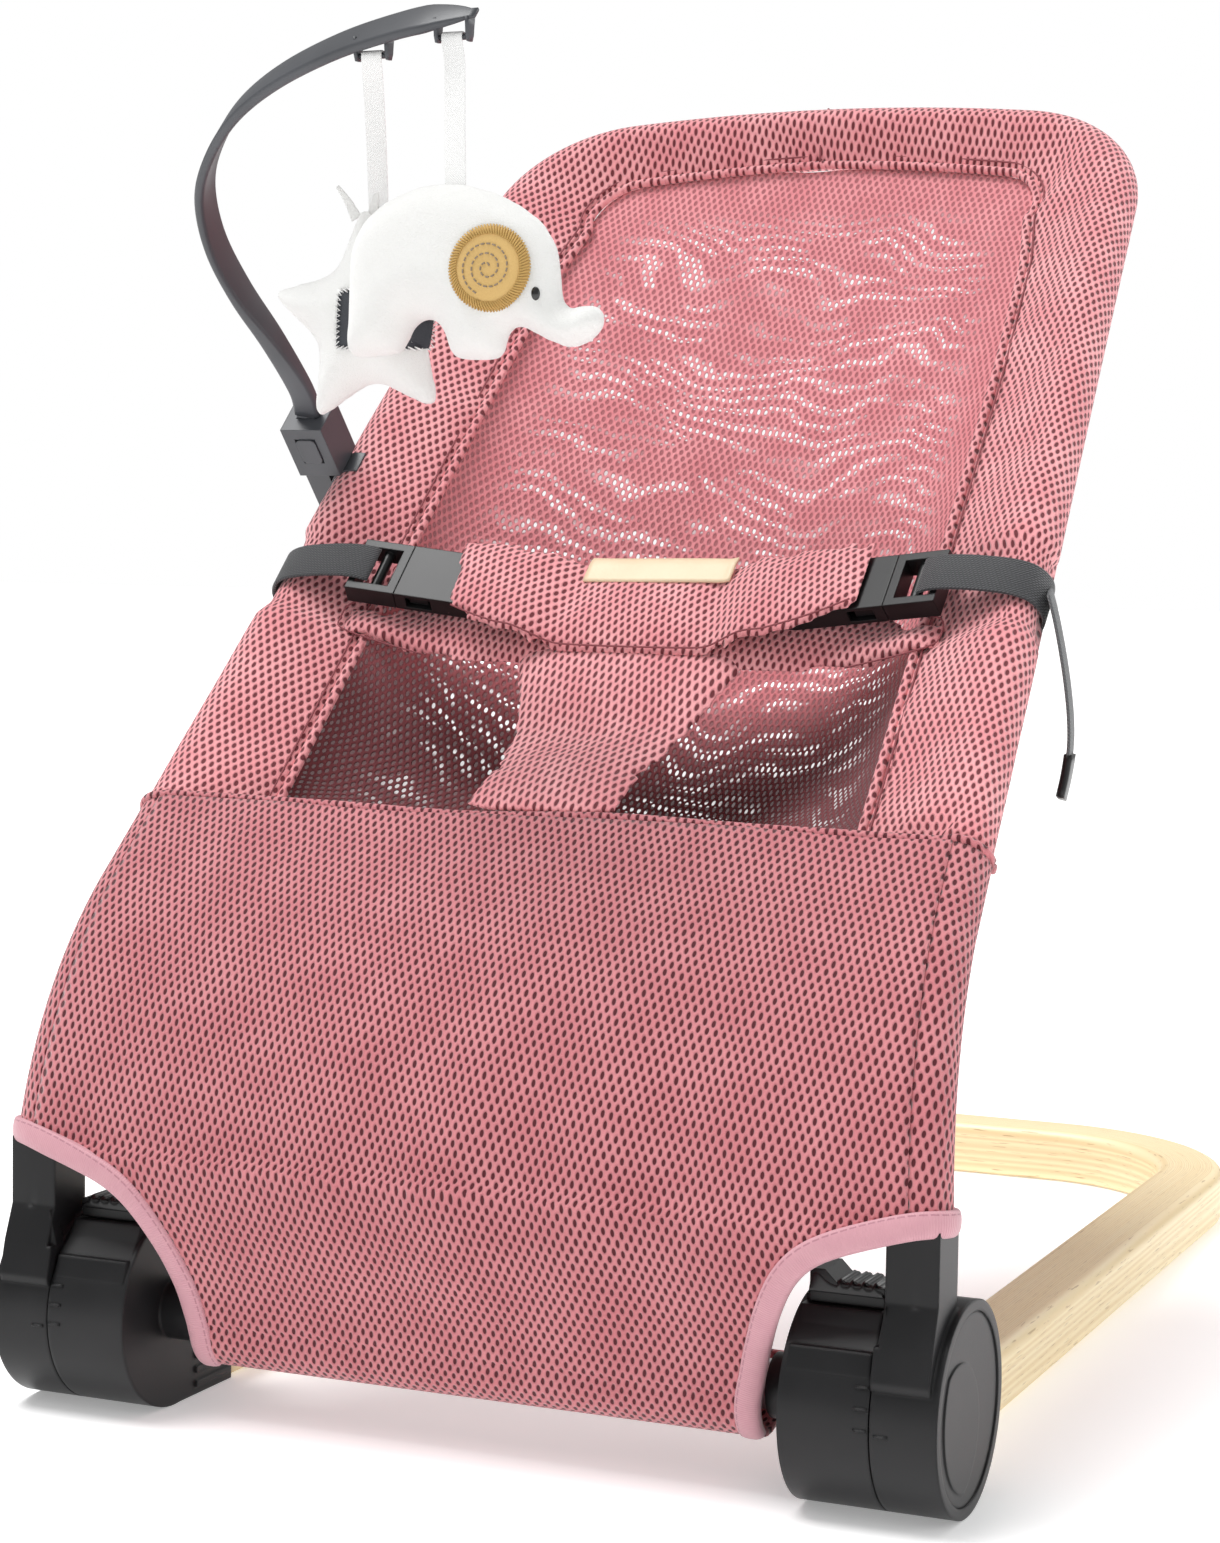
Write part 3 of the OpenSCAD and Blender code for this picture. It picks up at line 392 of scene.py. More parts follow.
class Nodes:
    """A small helper that writes shader nodes and links them."""

    def __init__(self, name):
        self.mat = bpy.data.materials.new(name)
        self.mat.use_nodes = True
        self.tree = self.mat.node_tree
        self.bsdf = self.tree.nodes["Principled BSDF"]
        self.out = self.tree.nodes["Material Output"]

    def new(self, kind, **settings):
        node = self.tree.nodes.new(kind)
        for key, value in settings.items():
            setattr(node, key, value)
        return node

    def link(self, a, b):
        self.tree.links.new(a, b)

    def put(self, socket, value):
        if isinstance(value, bpy.types.NodeSocket):
            self.link(value, socket)
        else:
            socket.default_value = value

    def math(self, op, a, b=0.0, c=None, clamp=False):
        n = self.new("ShaderNodeMath", operation=op, use_clamp=clamp)
        self.put(n.inputs[0], a)
        self.put(n.inputs[1], b)
        if c is not None:
            self.put(n.inputs[2], c)
        return n.outputs[0]

    def vec(self, op, a, b=(0, 0, 0), scale=None):
        n = self.new("ShaderNodeVectorMath", operation=op)
        self.put(n.inputs[0], a)
        if op not in ("FRACTION", "LENGTH", "SCALE"):
            self.put(n.inputs[1], b)
        if scale is not None:
            self.put(n.inputs["Scale"], scale)
        return n.outputs["Value"] if op in ("LENGTH", "DOT_PRODUCT") else n.outputs[0]

    def step(self, value, low, high):
        n = self.new("ShaderNodeMapRange", interpolation_type="SMOOTHSTEP")
        self.put(n.inputs["Value"], value)
        n.inputs["From Min"].default_value = low
        n.inputs["From Max"].default_value = high
        n.inputs["To Min"].default_value = 0.0
        n.inputs["To Max"].default_value = 1.0
        return n.outputs["Result"]

    def noise(self, vector, scale, detail=3.0, rough=0.5):
        n = self.new("ShaderNodeTexNoise")
        self.link(vector, n.inputs["Vector"])
        n.inputs["Scale"].default_value = scale
        n.inputs["Detail"].default_value = detail
        n.inputs["Roughness"].default_value = rough
        return n.outputs["Fac"]

    def mix(self, fac, a, b):
        n = self.new("ShaderNodeMix", data_type="RGBA")
        self.put(n.inputs[0], fac)
        self.put(n.inputs[6], a)
        self.put(n.inputs[7], b)
        return n.outputs[2]

    def uv(self):
        return self.new("ShaderNodeTexCoord").outputs["UV"]

    def obj(self):
        return self.new("ShaderNodeTexCoord").outputs["Object"]

    def bump(self, height, strength, distance, normal=None):
        n = self.new("ShaderNodeBump")
        n.inputs["Strength"].default_value = strength
        n.inputs["Distance"].default_value = distance
        self.link(height, n.inputs["Height"])
        if normal is not None:
            self.link(normal, n.inputs["Normal"])
        return n.outputs["Normal"]

    def set(self, **values):
        names = {"color": "Base Color", "rough": "Roughness", "metal": "Metallic", "sheen": "Sheen Weight",
                 "sheen_rough": "Sheen Roughness", "coat": "Coat Weight", "coat_rough": "Coat Roughness",
                 "normal": "Normal", "alpha": "Alpha", "specular": "Specular IOR Level"}
        for key, value in values.items():
            self.put(self.bsdf.inputs[names[key]], value)
        return self.mat


def rgb(r, g, b):
    return (r, g, b, 1.0)


ROSE = rgb(0.68, 0.190, 0.215)
ROSE_LIGHT = rgb(0.80, 0.285, 0.310)
# painted shade: the colour seen in the knit holes, dark for the shade between the layers of the mesh
ROSE_HOLE_SHADE = rgb(0.085, 0.010, 0.015)


# the knit repeats along these two steps (across and up the cloth, mm), with a second hole half way
KNIT_STEPS = np.array([(3.57, -0.72), (0.57, 7.02)])
HOLE_HALF = (0.80, 1.55)


def hole_field(n, uv):
    """Distance to the nearest oval knit hole, 1 at its rim."""
    inverse = np.linalg.inv(KNIT_STEPS.T) * 1000.0
    cells = n.new("ShaderNodeCombineXYZ")
    for k in range(2):
        n.link(n.vec("DOT_PRODUCT", uv, (inverse[k][0], inverse[k][1], 0.0)), cells.inputs[k])
    soft = n.new("ShaderNodeTexNoise")
    n.link(uv, soft.inputs["Vector"])
    soft.inputs["Scale"].default_value = 45.0
    flat = n.vec("MULTIPLY", soft.outputs["Color"], (1.0, 1.0, 0.0))
    wobble = n.vec("SCALE", n.vec("SUBTRACT", flat, (0.5, 0.5, 0.0)), scale=0.45)
    moved = n.vec("ADD", cells.outputs[0], wobble)
    dist = []
    for offset in (0.0, 0.5):
        cell = n.vec("SUBTRACT", n.vec("FRACTION", n.vec("ADD", moved, (offset, offset, 0.0))), (0.5, 0.5, 0.0))
        cell = n.vec("MULTIPLY", cell, (KNIT_STEPS[0][0] / HOLE_HALF[0], KNIT_STEPS[1][1] / HOLE_HALF[1], 0.0))
        dist.append(n.vec("LENGTH", cell))
    return n.math("MINIMUM", dist[0], dist[1])


def mesh_fabric(name, color=ROSE, light=ROSE_LIGHT, hole=ROSE_HOLE_SHADE, see_through=False):
    """Knitted air mesh: oval holes in staggered rows, painted dark as shade where a second layer lies behind them,
    with painted shade round their rims.
    """
    n = Nodes(name)
    uv = n.uv()
    d = hole_field(n, uv)
    solid = n.step(d, 0.78, 1.12)
    yarn = n.noise(uv, 2600.0, 2.0, 0.6)
    patches = n.noise(uv, 38.0, 3.0, 0.55)
    base = n.mix(n.step(patches, 0.30, 0.72), color, light)
    # painted shade: the yarn darkens towards the rim of each hole
    rim = n.step(d, 1.0, 1.9)
    base = n.mix(n.math("MULTIPLY", n.math("SUBTRACT", 1.0, rim), 0.35), base, rgb(0.42, 0.10, 0.125))
    base = n.mix(n.math("MULTIPLY", yarn, 0.30), base, rgb(0.90, 0.50, 0.52))
    height = n.math("ADD", n.step(d, 0.6, 1.5), n.math("MULTIPLY", yarn, 0.22))
    normal = n.bump(height, 0.85, 0.0007)
    if not see_through:
        # the holes take the painted shade colour
        color_out = n.mix(solid, hole, base)
        return n.set(color=color_out, rough=0.80, sheen=0.34, sheen_rough=0.45, specular=0.25, normal=normal)
    # the two knit faces line up in wavy bands, and there the light comes through the holes
    sep = n.new("ShaderNodeSeparateXYZ")
    n.link(uv, sep.inputs[0])
    drift = n.math("MULTIPLY", n.noise(uv, 10.0, 1.0, 0.5), 58.0)
    warp = n.math("ADD", drift, n.math("MULTIPLY", n.noise(uv, 34.0, 2.0, 0.5), 13.0))
    phase = n.math("ADD", n.math("MULTIPLY", sep.outputs[1], 620.0),
                   n.math("ADD", warp, n.math("MULTIPLY", sep.outputs[0], 130.0)))
    bands = n.step(n.math("SINE", phase), 0.0, 0.7)
    streaks = n.step(n.noise(n.vec("MULTIPLY", uv, (22.0, 62.0, 1.0)), 1.0, 2.0, 0.5), 0.40, 0.53)
    patch = n.math("MULTIPLY", streaks, n.step(n.noise(uv, 14.0, 2.0, 0.5), 0.30, 0.48))
    # the knit attribute holds where the knit opens, then the painted shade deep in the seat
    knit = n.new("ShaderNodeSeparateXYZ")
    n.link(n.new("ShaderNodeAttribute", attribute_name="knit").outputs["Vector"], knit.inputs[0])
    through = n.math("MULTIPLY", n.math("MULTIPLY", bands, patch), knit.outputs[0])
    # painted shade deep in the seat: fewer holes let light through and the yarn darkens
    through = n.math("MULTIPLY", through, n.math("SUBTRACT", 1.0, n.math("MULTIPLY", knit.outputs[1], 0.45)))
    base = n.mix(n.math("MULTIPLY", knit.outputs[1], 0.86), base, rgb(0.085, 0.009, 0.012))
    clear = n.math("ADD", n.math("MULTIPLY", through, 0.95), 0.05)
    open_hole = n.math("MULTIPLY", n.math("SUBTRACT", 1.0, solid), clear)
    # painted shade in the holes that let no light through, darker still deep in the seat
    behind = n.mix(n.math("MULTIPLY", knit.outputs[1], 0.8), rgb(0.36, 0.085, 0.10), rgb(0.05, 0.008, 0.01))
    color_out = n.mix(solid, behind, base)
    n.set(color=color_out, rough=0.80, sheen=0.12, sheen_rough=0.45, specular=0.25, normal=normal)
    n.put(n.bsdf.inputs["Alpha"], n.math("SUBTRACT", 1.0, open_hole))
    return n.mat


def binding_fabric():
    """Satin edge binding with a fine rib and one line of stitches."""
    n = Nodes("mauve_binding")
    uv = n.uv()
    sep = n.new("ShaderNodeSeparateXYZ")
    n.link(uv, sep.inputs[0])
    rib = n.math("SINE", n.math("MULTIPLY", sep.outputs[0], 2 * math.pi / 0.0009))
    off_line = n.math("ABSOLUTE", n.math("SUBTRACT", sep.outputs[1], 0.0022))
    line = n.math("SUBTRACT", 1.0, n.step(off_line, 0.00022, 0.00042))
    along = n.math("FRACT", n.math("MULTIPLY", sep.outputs[0], 1 / 0.0034))
    dash = n.step(n.math("ABSOLUTE", n.math("SUBTRACT", along, 0.5)), 0.34, 0.40)
    stitch = n.math("MULTIPLY", line, n.math("SUBTRACT", 1.0, dash))
    tint = n.mix(n.noise(uv, 130.0), rgb(0.56, 0.27, 0.32), rgb(0.64, 0.34, 0.38))
    height = n.math("ADD", n.math("MULTIPLY", rib, 0.25), n.math("MULTIPLY", stitch, -1.2))
    color = n.mix(n.math("MULTIPLY", stitch, 0.55), tint, rgb(0.34, 0.13, 0.17))
    return n.set(color=color, rough=0.5, sheen=0.3, specular=0.35, normal=n.bump(height, 0.5, 0.0004))


def webbing_fabric(name="grey_webbing", dark=rgb(0.022, 0.023, 0.026), light=rgb(0.060, 0.062, 0.068)):
    """Woven strap: fine twill in both directions."""
    n = Nodes(name)
    uv = n.uv()
    sep = n.new("ShaderNodeSeparateXYZ")
    n.link(uv, sep.inputs[0])
    a = n.math("SINE", n.math("MULTIPLY", n.math("ADD", sep.outputs[0], sep.outputs[1]), 2 * math.pi / 0.0016))
    b = n.math("SINE", n.math("MULTIPLY", sep.outputs[1], 2 * math.pi / 0.0011))
    weave = n.math("MULTIPLY", n.math("ADD", a, 1.0), n.math("ADD", b, 1.0))
    color = n.mix(n.math("MULTIPLY", weave, 0.25), dark, light)
    return n.set(color=color, rough=0.52, sheen=0.25, specular=0.35, normal=n.bump(weave, 0.45, 0.0004))


def ribbon_fabric():
    """White woven ribbon."""
    n = Nodes("white_ribbon")
    uv = n.uv()
    sep = n.new("ShaderNodeSeparateXYZ")
    n.link(uv, sep.inputs[0])
    weave = n.math("MULTIPLY", n.math("SINE", n.math("MULTIPLY", sep.outputs[0], 2 * math.pi / 0.0010)),
                   n.math("SINE", n.math("MULTIPLY", sep.outputs[1], 2 * math.pi / 0.0010)))
    shade = n.math("ADD", n.math("MULTIPLY", weave, 0.25), 0.5)
    color = n.mix(shade, rgb(0.78, 0.78, 0.77), rgb(0.92, 0.92, 0.91))
    return n.set(color=color, rough=0.6, sheen=0.2, normal=n.bump(weave, 0.35, 0.0003))


def plastic(name, color, rough, grain=0.04, bevel=0.0012, coat=0.0, specular=0.5):
    """Moulded plastic: fine spark-eroded grain, slightly uneven gloss, softened edges."""
    n = Nodes(name)
    pos = n.obj()
    fine = n.noise(pos, 2200.0, 2.0, 0.6)
    broad = n.noise(pos, 18.0, 3.0, 0.5)
    edge = n.new("ShaderNodeBevel", samples=4)
    edge.inputs["Radius"].default_value = bevel
    light = tuple(min(1.0, c * 1.35 + 0.004) for c in color[:3]) + (1.0,)
    gloss = n.math("ADD", n.math("MULTIPLY", broad, 0.08), rough - 0.08)
    return n.set(color=n.mix(n.step(broad, 0.35, 0.75), color, light),
                 rough=n.math("ADD", n.math("MULTIPLY", fine, 0.10), gloss),
                 coat=coat, coat_rough=0.25, specular=specular,
                 normal=n.bump(fine, grain, 0.0004, edge.outputs["Normal"]))


def metal(name, color=rgb(0.62, 0.63, 0.65), rough=0.32, metallic=1.0):
    """Plated steel with fine drawn lines."""
    n = Nodes(name)
    pos = n.obj()
    lines = n.noise(n.vec("MULTIPLY", pos, (30.0, 900.0, 900.0)), 1.0, 3.0)
    return n.set(color=n.mix(lines, color, tuple(c * 0.85 for c in color[:3]) + (1.0,)), metal=metallic,
                 rough=n.math("ADD", n.math("MULTIPLY", lines, 0.15), rough - 0.07),
                 normal=n.bump(lines, 0.08, 0.0002))


def powder_coat():
    """Dark painted tube."""
    n = Nodes("frame_paint")
    pos = n.obj()
    peel = n.noise(pos, 900.0, 2.0)
    color = n.mix(n.noise(pos, 25.0), rgb(0.035, 0.035, 0.037), rgb(0.055, 0.055, 0.058))
    return n.set(color=color, rough=0.45, normal=n.bump(peel, 0.12, 0.0003))


def oak_wood():
    """Pale oak: growth lines along the bow, short dark pores and a clear satin coat."""
    n = Nodes("pale_oak")
    uv = n.uv()
    grain_pos = n.vec("MULTIPLY", uv, (7.0, 160.0, 1.0))
    bend = n.noise(grain_pos, 1.0, 4.0, 0.55)
    wave = n.new("ShaderNodeTexWave", wave_type="BANDS", bands_direction="Y")
    n.link(n.vec("MULTIPLY", uv, (1.2, 46.0, 1.0)), wave.inputs["Vector"])
    wave.inputs["Scale"].default_value = 2.2
    wave.inputs["Distortion"].default_value = 9.0
    wave.inputs["Detail"].default_value = 2.5
    wave.inputs["Detail Scale"].default_value = 0.8
    pores = n.step(n.noise(n.vec("MULTIPLY", uv, (55.0, 1500.0, 1.0)), 1.0, 2.0, 0.6), 0.60, 0.70)
    base = n.mix(bend, rgb(1.0, 0.89, 0.61), rgb(0.95, 0.77, 0.45))
    base = n.mix(n.math("MULTIPLY", wave.outputs["Fac"], 0.40), base, rgb(0.68, 0.46, 0.18))
    base = n.mix(n.math("MULTIPLY", pores, 0.55), base, rgb(0.36, 0.20, 0.07))
    height = n.math("SUBTRACT", n.math("MULTIPLY", bend, 0.3), pores)
    gloss = n.math("ADD", n.math("MULTIPLY", bend, 0.14), 0.36)
    return n.set(color=base, rough=gloss, coat=0.15, coat_rough=0.3, normal=n.bump(height, 0.25, 0.0004))


def plush():
    """Short off-white pile."""
    n = Nodes("off_white_plush")
    pos = n.obj()
    pile = n.noise(pos, 1500.0, 3.0, 0.7)
    soft = n.noise(pos, 160.0, 3.0, 0.5)
    color = n.mix(n.math("MULTIPLY", pile, 0.5), rgb(0.78, 0.78, 0.76), rgb(0.88, 0.88, 0.865))
    return n.set(color=color, rough=0.95, sheen=0.5, sheen_rough=0.5, specular=0.1,
                 normal=n.bump(n.math("ADD", pile, n.math("MULTIPLY", soft, 1.2)), 0.55, 0.0008))


def felt(name, color, light):
    """Pressed felt with loose fibres."""
    n = Nodes(name)
    pos = n.obj()
    fibre = n.noise(pos, 1900.0, 4.0, 0.75)
    return n.set(color=n.mix(fibre, color, light), rough=0.95, sheen=0.4, specular=0.1,
                 normal=n.bump(fibre, 0.5, 0.0005))


def cream_leather():
    """Smooth cream patch with a fine pebble."""
    n = Nodes("cream_leather")
    pos = n.obj()
    cells = n.new("ShaderNodeTexVoronoi", feature="SMOOTH_F1")
    n.link(pos, cells.inputs["Vector"])
    cells.inputs["Scale"].default_value = 900.0
    return n.set(color=n.mix(n.noise(pos, 80.0), rgb(0.72, 0.55, 0.36), rgb(0.82, 0.67, 0.47)), rough=0.5,
                 normal=n.bump(cells.outputs["Distance"], 0.3, 0.0003))


def thread(name, color):
    n = Nodes(name)
    twist = n.noise(n.obj(), 3200.0, 1.0)
    light = tuple(min(1, c * 1.3 + 0.01) for c in color[:3]) + (1.0,)
    return n.set(color=n.mix(twist, color, light), rough=0.7, normal=n.bump(twist, 0.3, 0.0002))


FLOOR_GLOW = 0.28


def floor_paper():
    n = Nodes("pale_floor")
    n.bsdf.inputs["Emission Color"].default_value = (1.0, 1.0, 1.0, 1.0)
    n.bsdf.inputs["Emission Strength"].default_value = FLOOR_GLOW
    color = n.mix(n.noise(n.obj(), 3.0), rgb(0.95, 0.95, 0.95), rgb(0.97, 0.97, 0.97))
    return n.set(color=color, rough=0.7, specular=0.2)


M = {}


def make_materials():
    # shaded and lit copies of one rose fabric: the leg panel and side wraps get a darker copy as painted shade, the
    # padded band, pads, flap and strap a lighter copy with lighter holes as painted light
    M["mesh"] = mesh_fabric("rose_air_mesh_shaded_copy", rgb(0.52, 0.132, 0.152), rgb(0.61, 0.202, 0.222))
    M["soft_mesh"] = mesh_fabric("rose_padded_mesh_lit_copy", rgb(0.80, 0.262, 0.285), rgb(0.92, 0.40, 0.415),
                                 rgb(0.15, 0.026, 0.033))
    M["sling"] = mesh_fabric("rose_open_mesh", see_through=True)
    M["binding"] = binding_fabric()
    M["webbing"] = webbing_fabric()
    M["tail"] = webbing_fabric("light_webbing", rgb(0.085, 0.088, 0.093), rgb(0.17, 0.175, 0.18))
    M["ribbon"] = ribbon_fabric()
    M["hub"] = plastic("hub_plastic", rgb(0.0095, 0.0095, 0.0102), 0.36, bevel=0.0020, specular=0.27)
    M["black"] = plastic("black_gloss", rgb(0.006, 0.006, 0.0064), 0.34, 0.02, bevel=0.0007, specular=0.3)
    M["grip"] = plastic("grip_gloss", rgb(0.006, 0.006, 0.0065), 0.30, 0.0, bevel=0.0001, coat=0.2, specular=0.4)
    M["bar"] = plastic("bar_plastic", rgb(0.050, 0.053, 0.060), 0.40, bevel=0.0007)
    M["steel"] = metal("plated_steel")
    M["paint"] = powder_coat()
    M["rubber"] = plastic("rubber", rgb(0.02, 0.02, 0.02), 0.75, 0.1, bevel=0.0004)
    M["oak"] = oak_wood()
    M["plush"] = plush()
    M["felt"] = felt("tan_felt", rgb(0.58, 0.36, 0.12), rgb(0.76, 0.53, 0.22))
    M["leather"] = cream_leather()
    M["seam"] = thread("rose_seam", rgb(0.22, 0.05, 0.06))
    M["zigzag"] = thread("gold_zigzag", rgb(0.45, 0.28, 0.08))
    M["spiral"] = thread("grey_spiral", rgb(0.22, 0.17, 0.12))
    M["white_thread"] = thread("white_thread", rgb(0.75, 0.75, 0.74))
    # painted shade: a near-black sheet for the shadow in the gap between the star and the elephant
    M["painted_gap_shade"] = felt("painted_gap_shade", rgb(0.035, 0.038, 0.045), rgb(0.07, 0.075, 0.085))
    M["eye"] = plastic("eye_black", rgb(0.006, 0.006, 0.006), 0.15, 0.0, bevel=0.0001, coat=0.5)


NODE_MATERIALS = {
    "hub": ["inner_housing_left", "inner_housing_right", "outer_housing_left", "outer_housing_right",
            "hub_cap_left", "hub_cap_right"],
    "black": ["release_slider_left", "release_slider_right", "buckle_female_left", "buckle_female_right",
              "buckle_male_left", "buckle_male_right"],
    "bar": ["clip_body", "clip_button"],
    "steel": ["cross_tube", "hub_bolts", "hub_nuts", "bow_screws", "lock_ring_left", "lock_ring_right",
              "release_spring_left", "release_spring_right", "arm_screws", "frame_screws", "clip_spring"],
    "paint": ["lower_tube_left", "lower_tube_right", "upper_tube"],
    "rubber": ["bow_pads"],
}


def dress_nodes():
    for key, names in NODE_MATERIALS.items():
        for name in names:
            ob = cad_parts[name]
            if not ob.material_slots:
                ob.data.materials.append(M[key])
            for slot in ob.material_slots:
                slot.material = M[key]


# ---------- base ----------

TENON_END = 45.5
SHOULDER_Y = 46.2


def bow():
    """The bent wooden bow as one sweep, so that the grain runs round its corners."""
    legs_y = BOW_BACK - BOW_W / 2 - BOW_BEND_R
    bar_x = BOW_MID_X - BOW_BEND_R
    pts = [(BOW_MID_X, 27.0), (BOW_MID_X, 44.0)]
    pts += [(BOW_MID_X, y) for y in np.linspace(60, legs_y, 18)]
    for a in np.linspace(0, 90, 19)[1:]:
        r = math.radians(a)
        pts.append((bar_x + BOW_BEND_R * math.cos(r), legs_y + BOW_BEND_R * math.sin(r)))
    half = np.array(pts)
    middle = [(x, BOW_BACK - BOW_W / 2) for x in np.linspace(bar_x, 0, 6)[1:]]
    half = np.vstack([half, middle])
    other = half[-2::-1] * (-1, 1)
    plan = np.vstack([half, other])
    path = np.column_stack([plan, np.full(len(plan), BOW_H / 2)])
    full = round_rect(BOW_H, BOW_W, 5.0)
    tenon = round_rect(20.0, 26.0, 2.0)
    # the tenon becomes the full section in one step, at the shoulder
    sections = np.array([tenon if (p[1] < TENON_END) else full for p in path])
    k = np.where(path[:, 1] >= TENON_END)[0]
    first, last = k[0], k[-1]
    path = np.vstack([path[:first], [[path[first, 0], SHOULDER_Y, BOW_H / 2]], path[first:last + 1],
                      [[path[last, 0], SHOULDER_Y, BOW_H / 2]], path[last + 1:]])
    sections = np.concatenate([sections[:first], [full], sections[first:last + 1], [full], sections[last + 1:]])
    ob = sweep("bow_wood", path, sections, (0, 0, 1))
    ob.data.polygons.foreach_set("use_smooth", [True] * len(ob.data.polygons))
    return finish_piece(ob, "base", M["oak"], ["base_bow"])


def slide_grips():
    """Smooth thumb grips moulded over the release slides: a fin at the inner end and three ridges."""
    for name in ("left", "right"):
        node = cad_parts[f"release_slider_{name}"]
        pts = np.array([node.matrix_world @ v.co for v in node.data.vertices]) * 1000.0 + (0.0, SHIFT_Y, 0.0)
        side = -1 if pts[:, 0].mean() < 0 else 1
        across = np.abs(pts[:, 0])
        x0, length = across.min(), np.ptp(across)
        lo, hi, foot = pts[:, 1].min(), pts[:, 1].max(), pts[:, 2].max() - 9.9
        u = np.linspace(-0.4, length + 0.4, 64)
        top = table(u, [(-0.4, 3.0), (-0.1, 6.6), (0.9, 9.6), (2.3, 10.5), (3.8, 9.9), (5.8, 8.1), (8.2, 6.8),
                        (10.6, 6.2), (length - 2.2, 6.0), (length - 0.7, 5.3), (length + 0.4, 3.0)])
        ridge = np.maximum(0, np.sin(2 * math.pi * (u - 10.4) / 4.5)) * (u > 10.4) * (u < length - 1.2)
        rings = []
        for a, h in zip(u, top + 1.1 * ridge):
            wide = hi - lo + 0.6
            sec = round_rect(wide, h, min(2.2, 0.45 * h), 5)
            z = foot + h / 2 + sec[:, 1] - 0.9 * (2 * sec[:, 0] / wide) ** 2 * (sec[:, 1] > 0)
            rings.append(np.stack([np.full(len(sec), side * (x0 + a)), (lo + hi) / 2 + sec[:, 0], z], -1))
        rings = np.array(rings)
        ob = grid(f"release_grip_{name}", rings, rings[..., :2].copy(), close_v=True, caps=True)
        fix_normals(ob)
        finish_piece(ob, f"release_{name}", M["grip"])


def hub_marks():
    """Index ticks pressed beside the parting line, with a pointer tick on the moving half."""
    for side in (-1, 1):
        for body, x0, angles in (("base", 170.9, (20, 9, -2)), ("seat", 178.8, (-4,))):
            for k, ang in enumerate(angles):
                a = math.radians(ang)
                r = HUB_R + 0.1
                c = np.array([side * x0, -r * math.cos(a), HUB_R + r * math.sin(a)])
                half = 2.6
                path = [c + (dx, 0, 0) for dx in np.linspace(-half, half, 6)]
                tick = sweep(f"hub_tick_{'l' if side < 0 else 'r'}_{body}_{k}", path, circle(0.7, 8), (0, 0, 1))
                finish_piece(tick, body, M["hub"])


# ---------- cover ----------

# half width of the panel at height z, beside the hubs
NOTCH = [(22, 121), (42, 122), (57, 125), (72, 130), (84, 136), (91, 141), (96, 146), (101, 154), (105, 166),
         (109, 181)]
PANEL_O = 12.8


def panel_rows():
    """Centre line of the leg panel from its hem round the cross tube to the front seam.

    Each row is (y, z, half width) in the middle plane, or a length s on the bent side."""
    rows = []
    hem_r = 19.2
    for a in np.linspace(-205, 0, 15):
        r = math.radians(a)
        rows.append(("low", -hem_r * math.cos(r), HUB_R + hem_r * math.sin(r), 121.0))
    for z in np.linspace(42.5, 109, 26):
        y = lerp(-19.4, -37.6, smooth((z - 30) / 72.0))
        rows.append(("low", y, z, table(z, NOTCH)))
    for s in np.linspace(-BEND_LEN + 6.5, SEAM_S, 48):
        rows.append(("side", s, 0, 0))
    return rows


def leg_panel():
    """The curved front panel: hem round the cross tube, notches round the hubs, edges turned round the tubes."""
    cols = np.linspace(-1, 1, 91)
    P, U = [], []
    for kind, a, b, w in panel_rows():
        if kind == "low":
            x = cols * w
            shift = 3.5 * math.sin(math.pi * (b - 20) / 90)
            row = np.stack([x + shift, np.full_like(x, a), np.full_like(x, b)], -1)
        else:
            x = cols * half_w(a)
            row = side_pt(x, a, PANEL_O)
        P.append(row)
        U.append(x)
    P, U = np.array(P), np.array(U)
    mid = P[:, len(cols) // 2]
    v = np.concatenate([[0], np.cumsum(np.linalg.norm(np.diff(mid, axis=0), axis=1))])
    V = np.broadcast_to(v[:, None], U.shape)
    # soft puckers: pulled folds from the hub notches, a gentle wave along the hem
    lift = (1.0 * waves(U, V, 150, 3) + 1.6 * waves(U * 1.5, V * 0.6, 110, 5)) * (1 - np.abs(cols)[None] ** 4)
    fade = smooth((V - 60) / 40) * smooth((v[-1] - V) / 25)
    normal = np.cross(np.gradient(P, axis=1), np.gradient(P, axis=0))
    P = P + unit(normal) * (lift * fade)[..., None] * (1 if normal[60, 45, 1] < 0 else -1)
    ob = grid("leg_panel_cover", P, np.stack([U, V], -1))
    fix_normals(ob)
    thicken(ob, 2.2, -0.2)
    finish_piece(ob, "seat", M["mesh"], ["leg_panel", "hem_sleeve"])
    return P


def side_wraps():
    """The panel's edges turned round the outside of each lower tube."""
    for side, name in ((-1, "left"), (1, "right")):
        ss = np.linspace(-BEND_LEN + 5.0, SEAM_S, 44)
        angs = np.radians(np.linspace(90, -170, 30))
        P = np.array([[side_pt(side * (half_w(s) + PANEL_O * math.cos(a)), s, PANEL_O * math.sin(a))
                       for a in angs] for s in ss])
        arc = PANEL_O * (math.pi / 2 - angs)
        U = side * (half_w(ss)[:, None] + arc[None])
        V = np.broadcast_to((ss - ss[0])[:, None] + 185.0, U.shape)
        ob = grid(f"side_wrap_{name}", P, np.stack([U, V], -1))
        fix_normals(ob)
        thicken(ob, 2.0, -1.0)
        finish_piece(ob, "seat", M["mesh"], [f"side_sleeve_{name}"])


